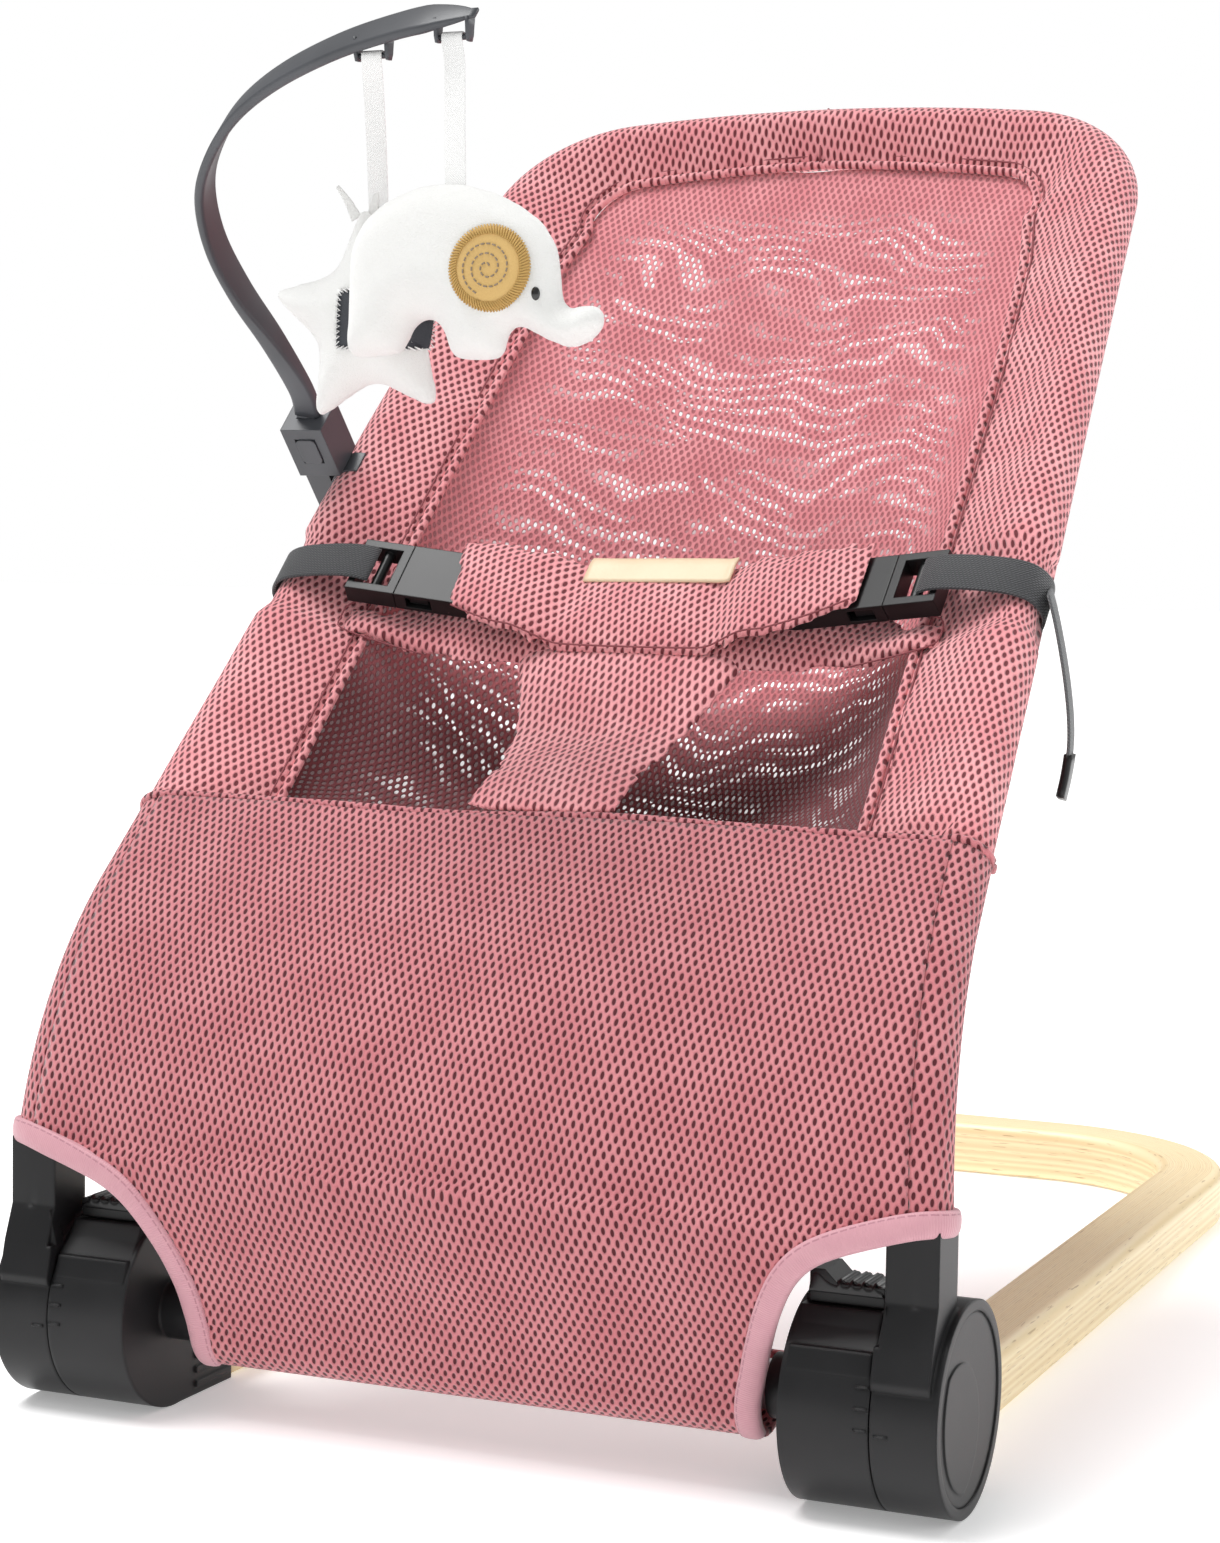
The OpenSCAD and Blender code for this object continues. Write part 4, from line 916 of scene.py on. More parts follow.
def edge_binding(P):
    """Satin binding over the notched edges of the panel and the lower ends of the side wraps."""
    for side, name in ((-1, "left"), (1, "right")):
        col = 0 if side < 0 else -1
        inner = 3 if side < 0 else -4
        rows = list(range(9, 41))
        edge = np.array([P[i, col] for i in rows])
        inward = unit(np.array([P[i, inner] - P[i, col] for i in rows]))
        # past the notch the binding runs round the tube
        angs = np.radians(np.linspace(80, -165, 16))
        s0 = -BEND_LEN + 5.5
        r = PANEL_O + 0.2
        wrap = np.array([side_pt(side * (half_w(s0) + r * math.cos(a)), s0, r * math.sin(a)) for a in angs])
        up = side_pt(side * half_w(s0), s0 + 10, 0) - side_pt(side * half_w(s0), s0, 0)
        path = np.vstack([edge, wrap])
        ins = np.vstack([inward, np.repeat(unit(up)[None], len(wrap), 0)])
        for _ in range(3):
            path[1:-1] = 0.25 * path[:-2] + 0.5 * path[1:-1] + 0.25 * path[2:]
            ins[1:-1] = unit(0.25 * ins[:-2] + 0.5 * ins[1:-1] + 0.25 * ins[2:])
        tan = unit(np.gradient(path, axis=0))
        nrm = unit(np.cross(tan, ins))
        front = nrm[len(edge) // 2]
        if front[1] > 0:
            nrm = -nrm
        ins = unit(np.cross(nrm, tan))
        if (ins[5] * inward[5]).sum() < 0:
            ins = -ins
        shape = [(8.5, 1.4), (8.2, 2.6), (5.0, 3.2), (1.5, 3.1), (-1.0, 2.3), (-2.1, 0.0), (-1.0, -2.2),
                 (1.5, -2.8), (5.0, -2.9), (8.2, -2.3), (8.5, -1.3)]
        ring = np.array(shape)
        Q = path[:, None] + ins[:, None] * ring[None, :, :1] + nrm[:, None] * ring[None, :, 1:]
        d = np.concatenate([[0], np.cumsum(np.linalg.norm(np.diff(path, axis=0), axis=1))])
        vv = np.concatenate([[0], np.cumsum(np.linalg.norm(np.diff(ring, axis=0), axis=1))])
        uv = np.stack(np.broadcast_arrays(d[:, None], vv[None]), -1)
        ob = grid(f"edge_binding_{name}", Q, uv, close_v=True, caps=True)
        subdivide(ob)
        finish_piece(ob, "seat", M["binding"])


def border_profile(tail):
    """Front and back outline of the padded band: (outward, out of the front), closed."""
    arc = [(ROLL_R * math.cos(a), ROLL_R * math.sin(a)) for a in np.radians(np.linspace(88, -90, 17))]
    under = [(-tail * 0.25, -11.8), (-tail * 0.5, -11.0), (-tail * 0.75, -10.4), (-tail * 0.93, -9.4)]
    nose = [(-tail, -7.2), (-tail, -5.6)]
    over = [(-tail * 0.93, -3.2), (-tail * 0.82, -0.6), (-tail * 0.66, 2.4), (-tail * 0.5, 5.2),
            (-tail * 0.34, 8.0), (-tail * 0.18, 10.7), (-tail * 0.07, 12.2)]
    return np.array(arc + under + nose + over)


def seat_border():
    """The padded band round the back frame, with puckers across it and a piped inner edge."""
    ts = np.linspace(SEAM_S + 1, 2 * HALF_LEN - SEAM_S - 1, 250)
    x, s, nx, ns = frame_at(ts)
    half_t = np.where(ts > HALF_LEN, 2 * HALF_LEN - ts, ts)
    tails = table(half_t, BORDER_TAIL)
    P, pin = [], []
    for i in range(len(ts)):
        sec = border_profile(tails[i])
        P.append(side_pt(x[i] + sec[:, 0] * nx[i], s[i] + sec[:, 0] * ns[i], sec[:, 1]))
        near = np.abs(np.arange(len(sec)) - 21.5)
        pin.append(np.clip(1.0 - (near - 1.5) / 3.0, 0, 1))
    P, pin = np.array(P), np.array(pin)
    # the planar part of the knit runs straight up the back, so its lattice comes from x and s
    sec_all = np.array([border_profile(t) for t in tails])
    px = x[:, None] + sec_all[..., 0] * nx[:, None]
    ps = s[:, None] + sec_all[..., 0] * ns[:, None]
    arc = ROLL_R * np.arctan2(sec_all[..., 0], np.abs(sec_all[..., 1]))
    roll = np.where(sec_all[..., 0] > 0, arc - sec_all[..., 0], 0)
    px, ps = px + roll * nx[:, None], ps + roll * ns[:, None]
    UV = np.stack([px, ps], -1)
    # puckers: folds across the band, strongest beside the seams
    normal = unit(np.cross(np.gradient(P, axis=0), np.gradient(P, axis=1)))
    if (normal[60, 26] * (side_pt(0, 100, 10) - side_pt(0, 100, 0))).sum() < 0:
        normal = -normal
    rel = -sec_all[..., 0] / tails[:, None]
    T = np.broadcast_to(ts[:, None], rel.shape)
    fold = waves(T, rel * 14, 32, 11) * 0.8 + waves(T + rel * 25, rel * 30, 78, 12) * 2.0
    window = np.clip(smooth(rel * 1.6 + 0.6) * smooth((1.02 - rel) * 6), 0, 1) * (sec_all[..., 1] > -7.5)
    # under the belt the band is pressed flat, so that the buckles slide clear of it
    belt = smooth((28 - np.abs(half_t - BELT_S)) / 8)[:, None] * (sec_all[..., 1] > -6)
    near_belt = 1 + 1.3 * np.exp(-((half_t - BELT_S) / 32) ** 2)[:, None]
    P = P + normal * (fold * window * near_belt * (1 - belt) - 3.0 * belt)[..., None]
    pin = np.maximum(pin, belt)
    ob = grid("seat_border_cover", P, UV, close_v=True, caps=True)
    inflate(ob, 1.2, 3.0, pins=pin.ravel(), frames=10)
    finish_piece(ob, "seat", M["soft_mesh"], ["seat_border"])
    # piping along the inner edge
    inner = side_pt(x - (tails + 0.4) * nx, s - (tails + 0.4) * ns, np.full(len(ts), -4.6))
    pipe = sweep("border_piping", inner, circle(2.1, 10), (0, -math.sin(BACK_A), math.cos(BACK_A)))
    back_uv(pipe)
    finish_piece(pipe, "seat", M["soft_mesh"])
    line = side_pt(x - (tails - 3.6) * nx, s - (tails - 3.6) * ns, np.full(len(ts), -2.0))
    seam = sweep("border_seam", line, circle(0.45, 6), (0, -math.sin(BACK_A), math.cos(BACK_A)))
    finish_piece(seam, "seat", M["seam"])


def cover_seams():
    """Rolled seam where the band meets the leg panel, and the closing seam at the top of the band."""
    out = (0, -math.sin(BACK_A), math.cos(BACK_A))
    s0 = SEAM_S + 0.6
    w = float(half_w(s0))
    r = 13.0
    turn = np.radians(np.linspace(-25, 88, 12))
    around = [side_pt(-w - r * math.cos(a), s0, r * math.sin(a)) for a in turn]
    across = [side_pt(x, s0 + 1.2 * math.sin(x / 31.0), 12.6 + 0.5 * math.sin(x / 17.0))
              for x in np.linspace(-w + 4, w - 4, 60)]
    back = [side_pt(w + r * math.cos(a), s0, r * math.sin(a)) for a in turn[::-1]]
    roll = sweep("front_seam_roll", curve_through(around + across + back, 3.0), circle(1.7, 10), out)
    back_uv(roll)
    finish_piece(roll, "seat", M["mesh"])
    below = [p + np.array((0, -1.0, -2.0)) for p in across]
    line = sweep("front_seam_line", curve_through(below, 3.0), circle(0.5, 6), out)
    finish_piece(line, "seat", M["seam"])
    x, s, nx, ns = frame_at(HALF_LEN + 3.0)
    sec = border_profile(17.0)
    top = [side_pt(x + a * nx, s + a * ns, b + 0.4) for a, b in sec if b > -4][4:]
    seam = sweep("top_seam", curve_through(top, 2.0), circle(0.5, 6), (1, 0, 0))
    finish_piece(seam, "seat", M["seam"])


SLING_EDGE = [(36, 130.5), (60, 130), (200, 126), (330, 121.8), (396, 117.8), (428, 112.4), (442, 113),
              (450, 111.2), (457, 107.8), (463, 103), (467, 97), (471, 76), (474, 52), (476.5, 26)]
SLING_DEPTH = [(36, 0), (52, 0.42), (75, 0.78), (105, 0.97), (135, 1), (190, 0.9), (270, 0.62), (350, 0.36),
               (425, 0.14), (476.5, 0)]
SLING_SAG = 68.0


def seat_sling():
    """Single-layer mesh hung inside the band: a deep seat and a shallower back."""
    rows = np.concatenate([np.linspace(37, 60, 10), np.linspace(64, 428, 72), np.linspace(433, 476, 12)])
    cols = np.linspace(-1, 1, 81)
    w = table(rows, SLING_EDGE)[:, None]
    X = w * cols[None]
    S = np.broadcast_to(rows[:, None], X.shape)
    rim = lerp(9.5, -6.8, smooth((rows - 37) / 16.0))[:, None]
    depth = table(rows, SLING_DEPTH)[:, None]
    O = rim - SLING_SAG * depth * (1 - cols[None] ** 2) ** 0.75
    held = 1 - cols[None] ** 2
    O = O + 1.6 * waves(X, S, 110, 21) * held + 0.8 * waves(X, S * 0.4, 42, 22) * held
    P = side_pt(X, S, O)
    step = np.linalg.norm(np.diff(P, axis=1), axis=2)
    arc = np.concatenate([np.zeros((len(rows), 1)), np.cumsum(step, axis=1)], 1)
    arc = arc - arc[:, 40:41]
    up = np.concatenate([[0], np.cumsum(np.linalg.norm(np.diff(P[:, 40], axis=0), axis=1))])
    ob = grid("seat_sling_cover", P, np.stack([arc, np.broadcast_to(up[:, None], arc.shape)], -1))
    fix_normals(ob)
    open_knit = smooth((1 - np.abs(cols[None])) * w / 22 - 0.55) * smooth((452 - S) / 22) * np.ones_like(X)
    # painted shade: the sling darkens deep in the seat, where little light reaches
    painted_deep_shade = smooth((185 - S) / 70) * np.ones_like(X)
    tint = ob.data.attributes.new("knit", "FLOAT_VECTOR", "POINT")
    tint.data.foreach_set("vector", np.stack([open_knit, painted_deep_shade, 0 * painted_deep_shade], -1).reshape(-1))
    finish_piece(ob, "seat", M["sling"], ["seat_sling"])


def closed_slab(name, X, S, low, high):
    """A closed pad between two faces given on one (x, s) grid."""
    A, B = side_pt(X, S, high), side_pt(X, S, low)
    m, n = X.shape
    pts = np.concatenate([A.reshape(-1, 3), B.reshape(-1, 3)])
    faces = grid_faces(m, n) + [tuple(m * n + k for k in f[::-1]) for f in grid_faces(m, n)]
    edge = ([(0, j) for j in range(n)] + [(i, n - 1) for i in range(1, m)]
            + [(m - 1, j) for j in range(n - 2, -1, -1)] + [(i, 0) for i in range(m - 2, 0, -1)])
    ids = [i * n + j for i, j in edge]
    for a, b in zip(ids, ids[1:] + ids[:1]):
        faces.append((b, a, m * n + a, m * n + b))
    ob = add_mesh(name, pts, faces)
    fix_normals(ob)
    return ob


CROTCH_EDGE = [(37, 33), (60, 33.5), (90, 37), (120, 45), (150, 57)]


def crotch_strap():
    rows, cols = np.linspace(37, 152, 30), np.linspace(-1, 1, 21)
    w = table(rows, CROTCH_EDGE)[:, None]
    X, S = w * cols[None], np.broadcast_to(rows[:, None], (30, 21))
    mid = lerp(11.5, -10.0, smooth((S - 38) / 72)) + 1.2 * (1 - cols[None] ** 2)
    soft = 1.2 + 1.1 * (1 - np.abs(cols[None]) ** 4)
    wrinkle = 0.8 * waves(X, S, 60, 31) * (1 - cols[None] ** 4)
    ob = closed_slab("crotch_strap_cover", X, S, mid - soft, mid + soft + wrinkle)
    remesh(ob, 3.0)
    inflate(ob, 1.5, 3.0, frames=10)
    relax(ob, 2)
    subdivide(ob)
    apply_modifiers(ob)
    back_uv(ob, stretch=0.72)
    finish_piece(ob, "seat", M["soft_mesh"], ["crotch_strap"])


def pad_low(x):
    return PAD_O + 9.8 * smooth((np.abs(x) - 104) / 30)


def waist_pad():
    """Pad behind the belt; its tabs lie over the inner edge of the band."""
    cols, rows = np.linspace(-139, 139, 81), np.linspace(0, 1, 19)
    low = 140 + 6 * smooth((np.abs(cols) - 70) / 60)
    high = 199 - 34 * smooth((np.abs(cols) - 96) / 26)
    X = np.broadcast_to(cols[None], (19, 81))
    S = low[None] + (high - low)[None] * rows[:, None]
    rim = (1 - np.abs(2 * rows[:, None] - 1) ** 4) * (1 - np.abs(X / 139.5) ** 10)
    base = pad_low(X) + 0.8
    tabs = smooth((np.abs(X) - 88) / 16) * np.exp(-((S - 149) / 9.5) ** 2)
    ob = closed_slab("waist_pad_cover", X, S, base, base + 1.2 + (2.2 + 5.0 * tabs) * rim)
    remesh(ob, 3.0)
    inflate(ob, 2.0, 3.0, frames=10)
    relax(ob, 2)
    subdivide(ob)
    apply_modifiers(ob)
    back_uv(ob)
    finish_piece(ob, "seat", M["soft_mesh"], ["waist_pad"])
    # dark edge stitching round the tabs
    for side in (-1, 1):
        corner = [(98, 142.6), (120, 145), (136.5, 148), (138.6, 154), (138, 161), (133, 164.2), (118, 168)]
        pts = [side_pt(side * a, b, pad_low(a) + 4.6) for a, b in corner]
        line = sweep(f"pad_stitch_{'l' if side < 0 else 'r'}", curve_through(pts, 2.0), circle(0.38, 6), (0, 0, 1))
        finish_piece(line, "seat", M["seam"])


def flap_low(x):
    """Underside of the flap: flat in the middle, riding over the buckles at its ends."""
    a = np.abs(x)
    return -7.6 + 9.4 * smooth((a - 32) / 24) + np.maximum(0, a - BUCKLE_IN) * math.tan(BUCKLE_TILT)


FLAP_X = (-86.0, 102.0)
FLAP_TOP = 200.5


def flap_edge(x):
    """The flap's lower edge: dipping in the middle, drawn up at the buckles."""
    return 143 + 15 * np.abs(x / 96) ** 3


def waist_flap():
    """Folded flap over the middle of the belt, with a dipping lower edge."""
    cols, rows = np.linspace(*FLAP_X, 71), np.linspace(0, 1, 23)
    low = flap_edge(cols)
    X = np.broadcast_to(cols[None], (23, 71))
    S = low[None] + (FLAP_TOP - low)[None] * rows[:, None]
    across = (X - sum(FLAP_X) / 2) / (np.ptp(FLAP_X) / 2 + 1)
    rim = (1 - np.abs(2 * rows[:, None] - 1) ** 6) * (1 - np.abs(across) ** 12)
    X = X - 7.0 * rows[:, None] * smooth((-X - 30) / 50)
    base = flap_low(X) + 0.7
    wob = 0.7 * waves(X, S, 55, 41)
    ob = closed_slab("waist_flap_cover", X, S, base, base + 1.2 + 2.6 * rim + wob * rim)
    remesh(ob, 3.0)
    inflate(ob, 2.5, 3.5, frames=12)
    relax(ob, 2)
    subdivide(ob)
    apply_modifiers(ob)
    back_uv(ob, math.radians(8))
    finish_piece(ob, "seat", M["soft_mesh"], ["waist_flap"])
    pts = [side_pt(a, flap_edge(a) + 4.0, flap_low(a) + 4.3)
           for a in np.linspace(FLAP_X[0] + 3, FLAP_X[1] - 3, 60)]
    line = sweep("flap_stitch", curve_through(pts, 2.0), circle(0.4, 6), (0, 0, 1))
    finish_piece(line, "seat", M["seam"])


def label_patch():
    """Blank leather patch sewn over the fold of the flap."""
    cols, rows = np.linspace(-32.0, 37.0, 33), np.linspace(-7.5, 7.5, 9)
    X = np.broadcast_to(cols[None], (9, 33))
    S = 191.0 + np.broadcast_to(rows[:, None], (9, 33))
    top = flap_low(X) + 7.0 + 0.6 * np.sin(X / 19.0) - 1.2 * smooth((rows[:, None] - 3) / 5)
    ob = grid("leather_patch", side_pt(X, S, top), np.stack([X, S], -1))
    fix_normals(ob)
    thicken(ob, 1.1, 0.0)
    finish_piece(ob, "seat", M["leather"], ["label_patch"])


# ---------- belt ----------

WEB_ROUTE = [(127.0, 12.6), (131, 14.3), (137, 15.4), (146, 15.6), (155, 15.0), (163, 14.0), (169.5, 12.2),
             (174.4, 9.2), (177.4, 4.6), (178.4, 0), (177.2, -5.4), (173.4, -10.4), (166, -13.6), (157, -14.2)]
TAIL_ROUTE = [(180.0, 151, 339), (181.4, 152.4, 333), (183.0, 154, 325), (185, 156, 313), (186.6, 158.4, 300),
              (187.6, 160.4, 287), (187.6, 161.4, 275), (186.4, 160.8, 264), (184.9, 159, 254.5)]


def webbings():
    up = np.array([0, math.cos(BACK_A), math.sin(BACK_A)])
    section = round_rect(20.0, 1.5, 0.7, 3)
    for side, name in ((-1, "left"), (1, "right")):
        path = curve_through([side_pt(side * a, BELT_S, b) for a, b in WEB_ROUTE], 2.0)
        ob = sweep(f"webbing_{name}_strap", path, section, up)
        finish_piece(ob, f"buckle_{name}", M["webbing"], [f"webbing_{name}"])
    path = curve_through(TAIL_ROUTE, 3.0)
    ob = sweep("strap_end", path, round_rect(18.0, 1.4, 0.6, 3), (-0.17, 0.985, 0))
    finish_piece(ob, "buckle_right", M["tail"], ["strap_tail"])
    fold = path[-7:]
    cap = sweep("strap_end_fold", fold + (0, 0, -0.5), round_rect(18.6, 3.6, 1.6, 4), (-0.17, 0.985, 0))
    finish_piece(cap, "buckle_right", M["black"])


# ---------- toy bar and toys ----------

BAR_LINE = [(-175.5, 43.4), (-173.6, 58), (-177, 87), (-182.5, 115), (-184, 143), (-178, 170), (-165, 191),
            (-145, 211), (-119, 227), (-87, 240), (-57, 248), (-38, 251), (-22, 252)]
HOOKS = {"elephant": -32.0, "star": -70.0}


def hook_o(x):
    return table(x, [(-87, 240), (-57, 248), (-38, 251), (-22, 252)])


def toy_bar():
    line = curve_through([(a, 0.0, b) for a, b in BAR_LINE], 3.0)
    path = np.array([side_pt(p[0], CLIP_S, p[2]) for p in line])
    f = smooth((line[:, 2] - 46) / 88.0)
    end = np.linspace(0, 1, len(line))
    tip = np.clip(np.sqrt(np.clip((1 - end) * 14, 0, 1)), 0.35, 1)
    sections = np.array([round_rect(lerp(5.2, 16, a) * b, lerp(12, 4.4, a) * b, 1.7 * b, 4)
                         for a, b in zip(f, tip)])
    up = np.array([0, math.cos(BACK_A), math.sin(BACK_A)])
    ob = sweep("toy_bar_strip", path, sections, up)
    finish_piece(ob, "toy_bar", M["bar"], ["toy_bar"])
    in_clip = [side_pt(CLIP_X, CLIP_S, o) for o in np.linspace(20.6, 45, 8)]
    peg = sweep("toy_bar_peg", in_clip, round_rect(4, 10, 0.8, 3), up)
    finish_piece(peg, "toy_bar", M["bar"])
    for toy, x in HOOKS.items():
        p = side_pt(x, CLIP_S, hook_o(x))
        for sx in (-1, 1):
            ear = sweep(f"hook_{toy}_{'l' if sx < 0 else 'r'}",
                        [p + (sx * 6.9, 0, dz) for dz in (-1.0, -4.0, -8.0, -10.4)],
                        [round_rect(1.5, w, 0.6, 3) for w in (7.5, 6.5, 5.6, 3.4)], (1, 0, 0))
            finish_piece(ear, "toy_bar", M["bar"])
        across = [p + (dx, 0, -8.5) for dx in np.linspace(-6.6, 6.6, 5)]
        pin = sweep(f"hook_pin_{toy}", across, circle(1.2, 12), (0, 0, 1))
        finish_piece(pin, "toy_bar", M["bar"])


ELEPHANT = [(-73, 431), (-72.5, 444), (-71.5, 458), (-69.5, 474), (-60, 486), (-46, 493), (-31, 496), (-14, 493.5),
            (1, 487.5), (13, 479), (19.6, 468), (21, 458), (22, 449), (25, 446.5), (31, 448), (37, 448), (40, 443.5),
            (38.5, 437.5), (32, 432), (24, 431), (15, 434), (5, 438), (-0.5, 438.5), (-2, 432), (-4, 426), (-13, 425),
            (-23, 425.5), (-27, 431), (-30, 438), (-36, 440.5), (-43, 438.5), (-46.5, 432), (-51, 428), (-61, 427.5),
            (-70, 427.8)]
STAR_MID = np.array([-78.5, 445.0])
EAR_MID = np.array([-3.2, 460.8])
EYE = (14.2, 451.0)
TOY_Y = {"elephant": 17.0, "star": 50.0}
TOY_HALF = {"elephant": 15.0, "star": 13.0}


def outline_distance(points, outline):
    a = outline
    b = np.roll(outline, -1, 0)
    best = np.full(len(points), 1e9)
    for p, q in zip(a, b):
        d = q - p
        t = np.clip(((points - p) @ d) / max(1e-9, (d * d).sum()), 0, 1)
        best = np.minimum(best, np.linalg.norm(points - (p + t[:, None] * d), axis=1))
    return best


def stuffed(name, outline, y, half, round_mm):
    """A sewn toy: a flat closed shape, filled out by distance from its seam, then swollen by cloth."""
    n = len(outline)
    pts = [(x, y - 4, z) for x, z in outline] + [(x, y + 4, z) for x, z in outline]
    faces = [tuple(range(n)), tuple(range(2 * n - 1, n - 1, -1))]
    faces += [((i + 1) % n, i, n + i, n + (i + 1) % n) for i in range(n)]
    ob = add_mesh(name, pts, faces)
    fix_normals(ob)
    remesh(ob, 2.6)
    co = coords(ob) * 1000.0
    d = outline_distance(co[:, [0, 2]], outline)
    grow = np.sqrt(np.clip(1 - (1 - np.clip(d / round_mm, 0, 1)) ** 2, 0, 1))
    off = co[:, 1] + SHIFT_Y - y
    co[:, 1] = y - SHIFT_Y + np.sign(off) * np.minimum(np.abs(off), 4) / 4 * (0.6 + (half - 3.0) * grow)
    set_coords(ob, co / 1000.0)
    relax(ob, 3)
    inflate(ob, 3.0, 3.0, frames=12)
    relax(ob, 2)
    subdivide(ob)
    apply_modifiers(ob)
    return ob


def surface_y(ob, x, z, front=True):
    """The y of a toy's front or back face at (x, z), in hub millimetres."""
    bpy.context.view_layer.update()
    start = Vector(to_row(np.array([x, -400.0 if front else 500.0, z])))
    hit, loc, nrm, _ = ob.ray_cast(ob.matrix_world.inverted() @ start, Vector((0, 1 if front else -1, 0)))
    if not hit:
        return None
    return loc[1] * 1000.0 + SHIFT_Y


def drape_line(ob, points, lift, front=True):
    out, last = [], None
    for x, z in points:
        y = surface_y(ob, x, z, front)
        y = last if y is None else y
        if y is None:
            continue
        last = y
        out.append((x, y - lift if front else y + lift, z))
    return np.array(out)


def ribbon(name, body, x, lean, y_low, z_low, nodes):
    top = side_pt(x, CLIP_S, hook_o(x)) + (0, 0, -8.5)
    pts = [top + (0, 1.7, -1.0), top + (0, 1.4, 1.4), top + (0, -1.4, 1.4), top + (0, -1.7, -1.5),
           (x + lean * 0.2, lerp(top[1], y_low, 0.15), lerp(top[2], z_low, 0.2)),
           (x + lean * 0.6, lerp(top[1], y_low, 0.6), lerp(top[2], z_low, 0.6)),
           (x + lean, y_low, z_low), (x + lean, y_low, z_low - 5)]
    ob = sweep(name, curve_through(pts, 1.5), round_rect(9.0, 0.8, 0.35, 3), (1, 0, 0))
    return finish_piece(ob, body, M["ribbon"], nodes)


def dashes(path, length, gap):
    """Cut a path into short stitches."""
    path = resample(path, 0.3)
    on, off = int(length / 0.3), int(gap / 0.3)
    return [path[k:k + on + 1] for k in range(0, len(path) - on, on + off)]


def stitches(name, runs, r):
    """Many short threads as one piece."""
    pts, faces = [], []
    for run in runs:
        run = resample(run, 0.8) if len(run) > 3 else np.array(run, float)
        part = sweep(name + "_one", run, circle(r, 5), (0, 1, 0.02))
        first = sum(len(p) for p in pts)
        pts.append(hub_coords(part))
        faces += [tuple(first + v for v in poly.vertices) for poly in part.data.polygons]
        bpy.data.objects.remove(part)
    return add_mesh(name, np.vstack(pts), faces)


def hub_coords(ob):
    """A mesh's points in the millimetres that the paths here are written in."""
    return coords(ob) * 1000.0 + (0.0, SHIFT_Y, 0.0)


def elephant():
    y, half = TOY_Y["elephant"], TOY_HALF["elephant"]
    ob = stuffed("elephant_body", closed_curve(ELEPHANT, 2.0), y, half, 17.0)
    finish_piece(ob, "elephant", M["plush"], ["elephant_toy"])
    for front in (True, False):
        tag = "front" if front else "back"
        rings, radii = [], [0.0, 0.2, 0.4, 0.6, 0.75, 0.87, 0.96, 1.0]
        angs = np.linspace(0, 2 * math.pi, 49)[:-1]
        r0 = 16.2
        for f in radii:
            row = []
            for a in angs:
                px, pz = EAR_MID + r0 * f * np.array([math.cos(a), math.sin(a)])
                py = surface_y(ob, px, pz, front)
                row.append((px, py if py is not None else y, pz))
            rings.append(row)
        rings = np.array(rings)
        out = -1 if front else 1
        lift = np.array([2.1, 2.1, 2.1, 2.05, 1.95, 1.7, 1.2, 0.3])
        rings[..., 1] = 0.55 * rings[..., 1] + 0.45 * rings[0, 0, 1] + out * (lift[:, None] - 0.2)
        disc = add_mesh(f"elephant_ear_{tag}", rings, grid_faces(*rings.shape[:2], close_v=True), rings[..., [0, 2]])
        finish_piece(disc, "elephant", M["felt"], ["elephant_ears"])

        def on_disc(px, pz):
            f = math.hypot(px - EAR_MID[0], pz - EAR_MID[1]) / r0
            a = math.atan2(pz - EAR_MID[1], px - EAR_MID[0]) % (2 * math.pi)
            j = int(round(a / (2 * math.pi) * 48)) % 48
            return np.interp(f, radii, rings[:, j, 1])

        def on_ear(r, a):
            px, pz = EAR_MID[0] + r * math.cos(a), EAR_MID[1] + r * math.sin(a)
            return (px, on_disc(px, pz) + out * 0.3, pz)

        turns = np.linspace(0, 2 * math.pi * 2.6, 220)
        spiral = [on_ear(1.2 + 9.6 * a / turns[-1], a + 0.6) for a in turns]
        spiral_thread = stitches(f"ear_spiral_{tag}", dashes(spiral, 1.7, 0.9), 0.34)
        finish_piece(spiral_thread, "elephant", M["spiral"])
        edge = [[on_ear(r, a + 0.03 * (r - 14)) for r in (13.0, 14.8, 16.7)]
                for a in np.linspace(0, 2 * math.pi, 85)[:-1]]
        edge_thread = stitches(f"ear_edge_{tag}", edge, 0.42)
        finish_piece(edge_thread, "elephant", M["zigzag"])
        ey = surface_y(ob, EYE[0], EYE[1], front)
        if ey is not None:
            eye = add_ball(f"elephant_eye_{tag}", (EYE[0], ey - 0.3 * out, EYE[1]), (2.1, 1.2, 2.7))
            finish_piece(eye, "elephant", M["eye"])
    ribbon("elephant_ribbon", "elephant", HOOKS["elephant"], 7.0, y, 496.0, ["elephant_strap"])


def add_ball(name, centre, radii):
    me = bpy.data.meshes.new(name)
    bm = bmesh.new()
    bmesh.ops.create_uvsphere(bm, u_segments=20, v_segments=12, radius=1.0)
    bmesh.ops.scale(bm, vec=Vector(radii) / 1000.0, verts=bm.verts)
    bmesh.ops.translate(bm, vec=Vector(to_row(np.array(centre, float))), verts=bm.verts)
    bm.to_mesh(me)
    bm.free()
    ob = bpy.data.objects.new(name, me)
    bpy.context.scene.collection.objects.link(ob)
    return ob


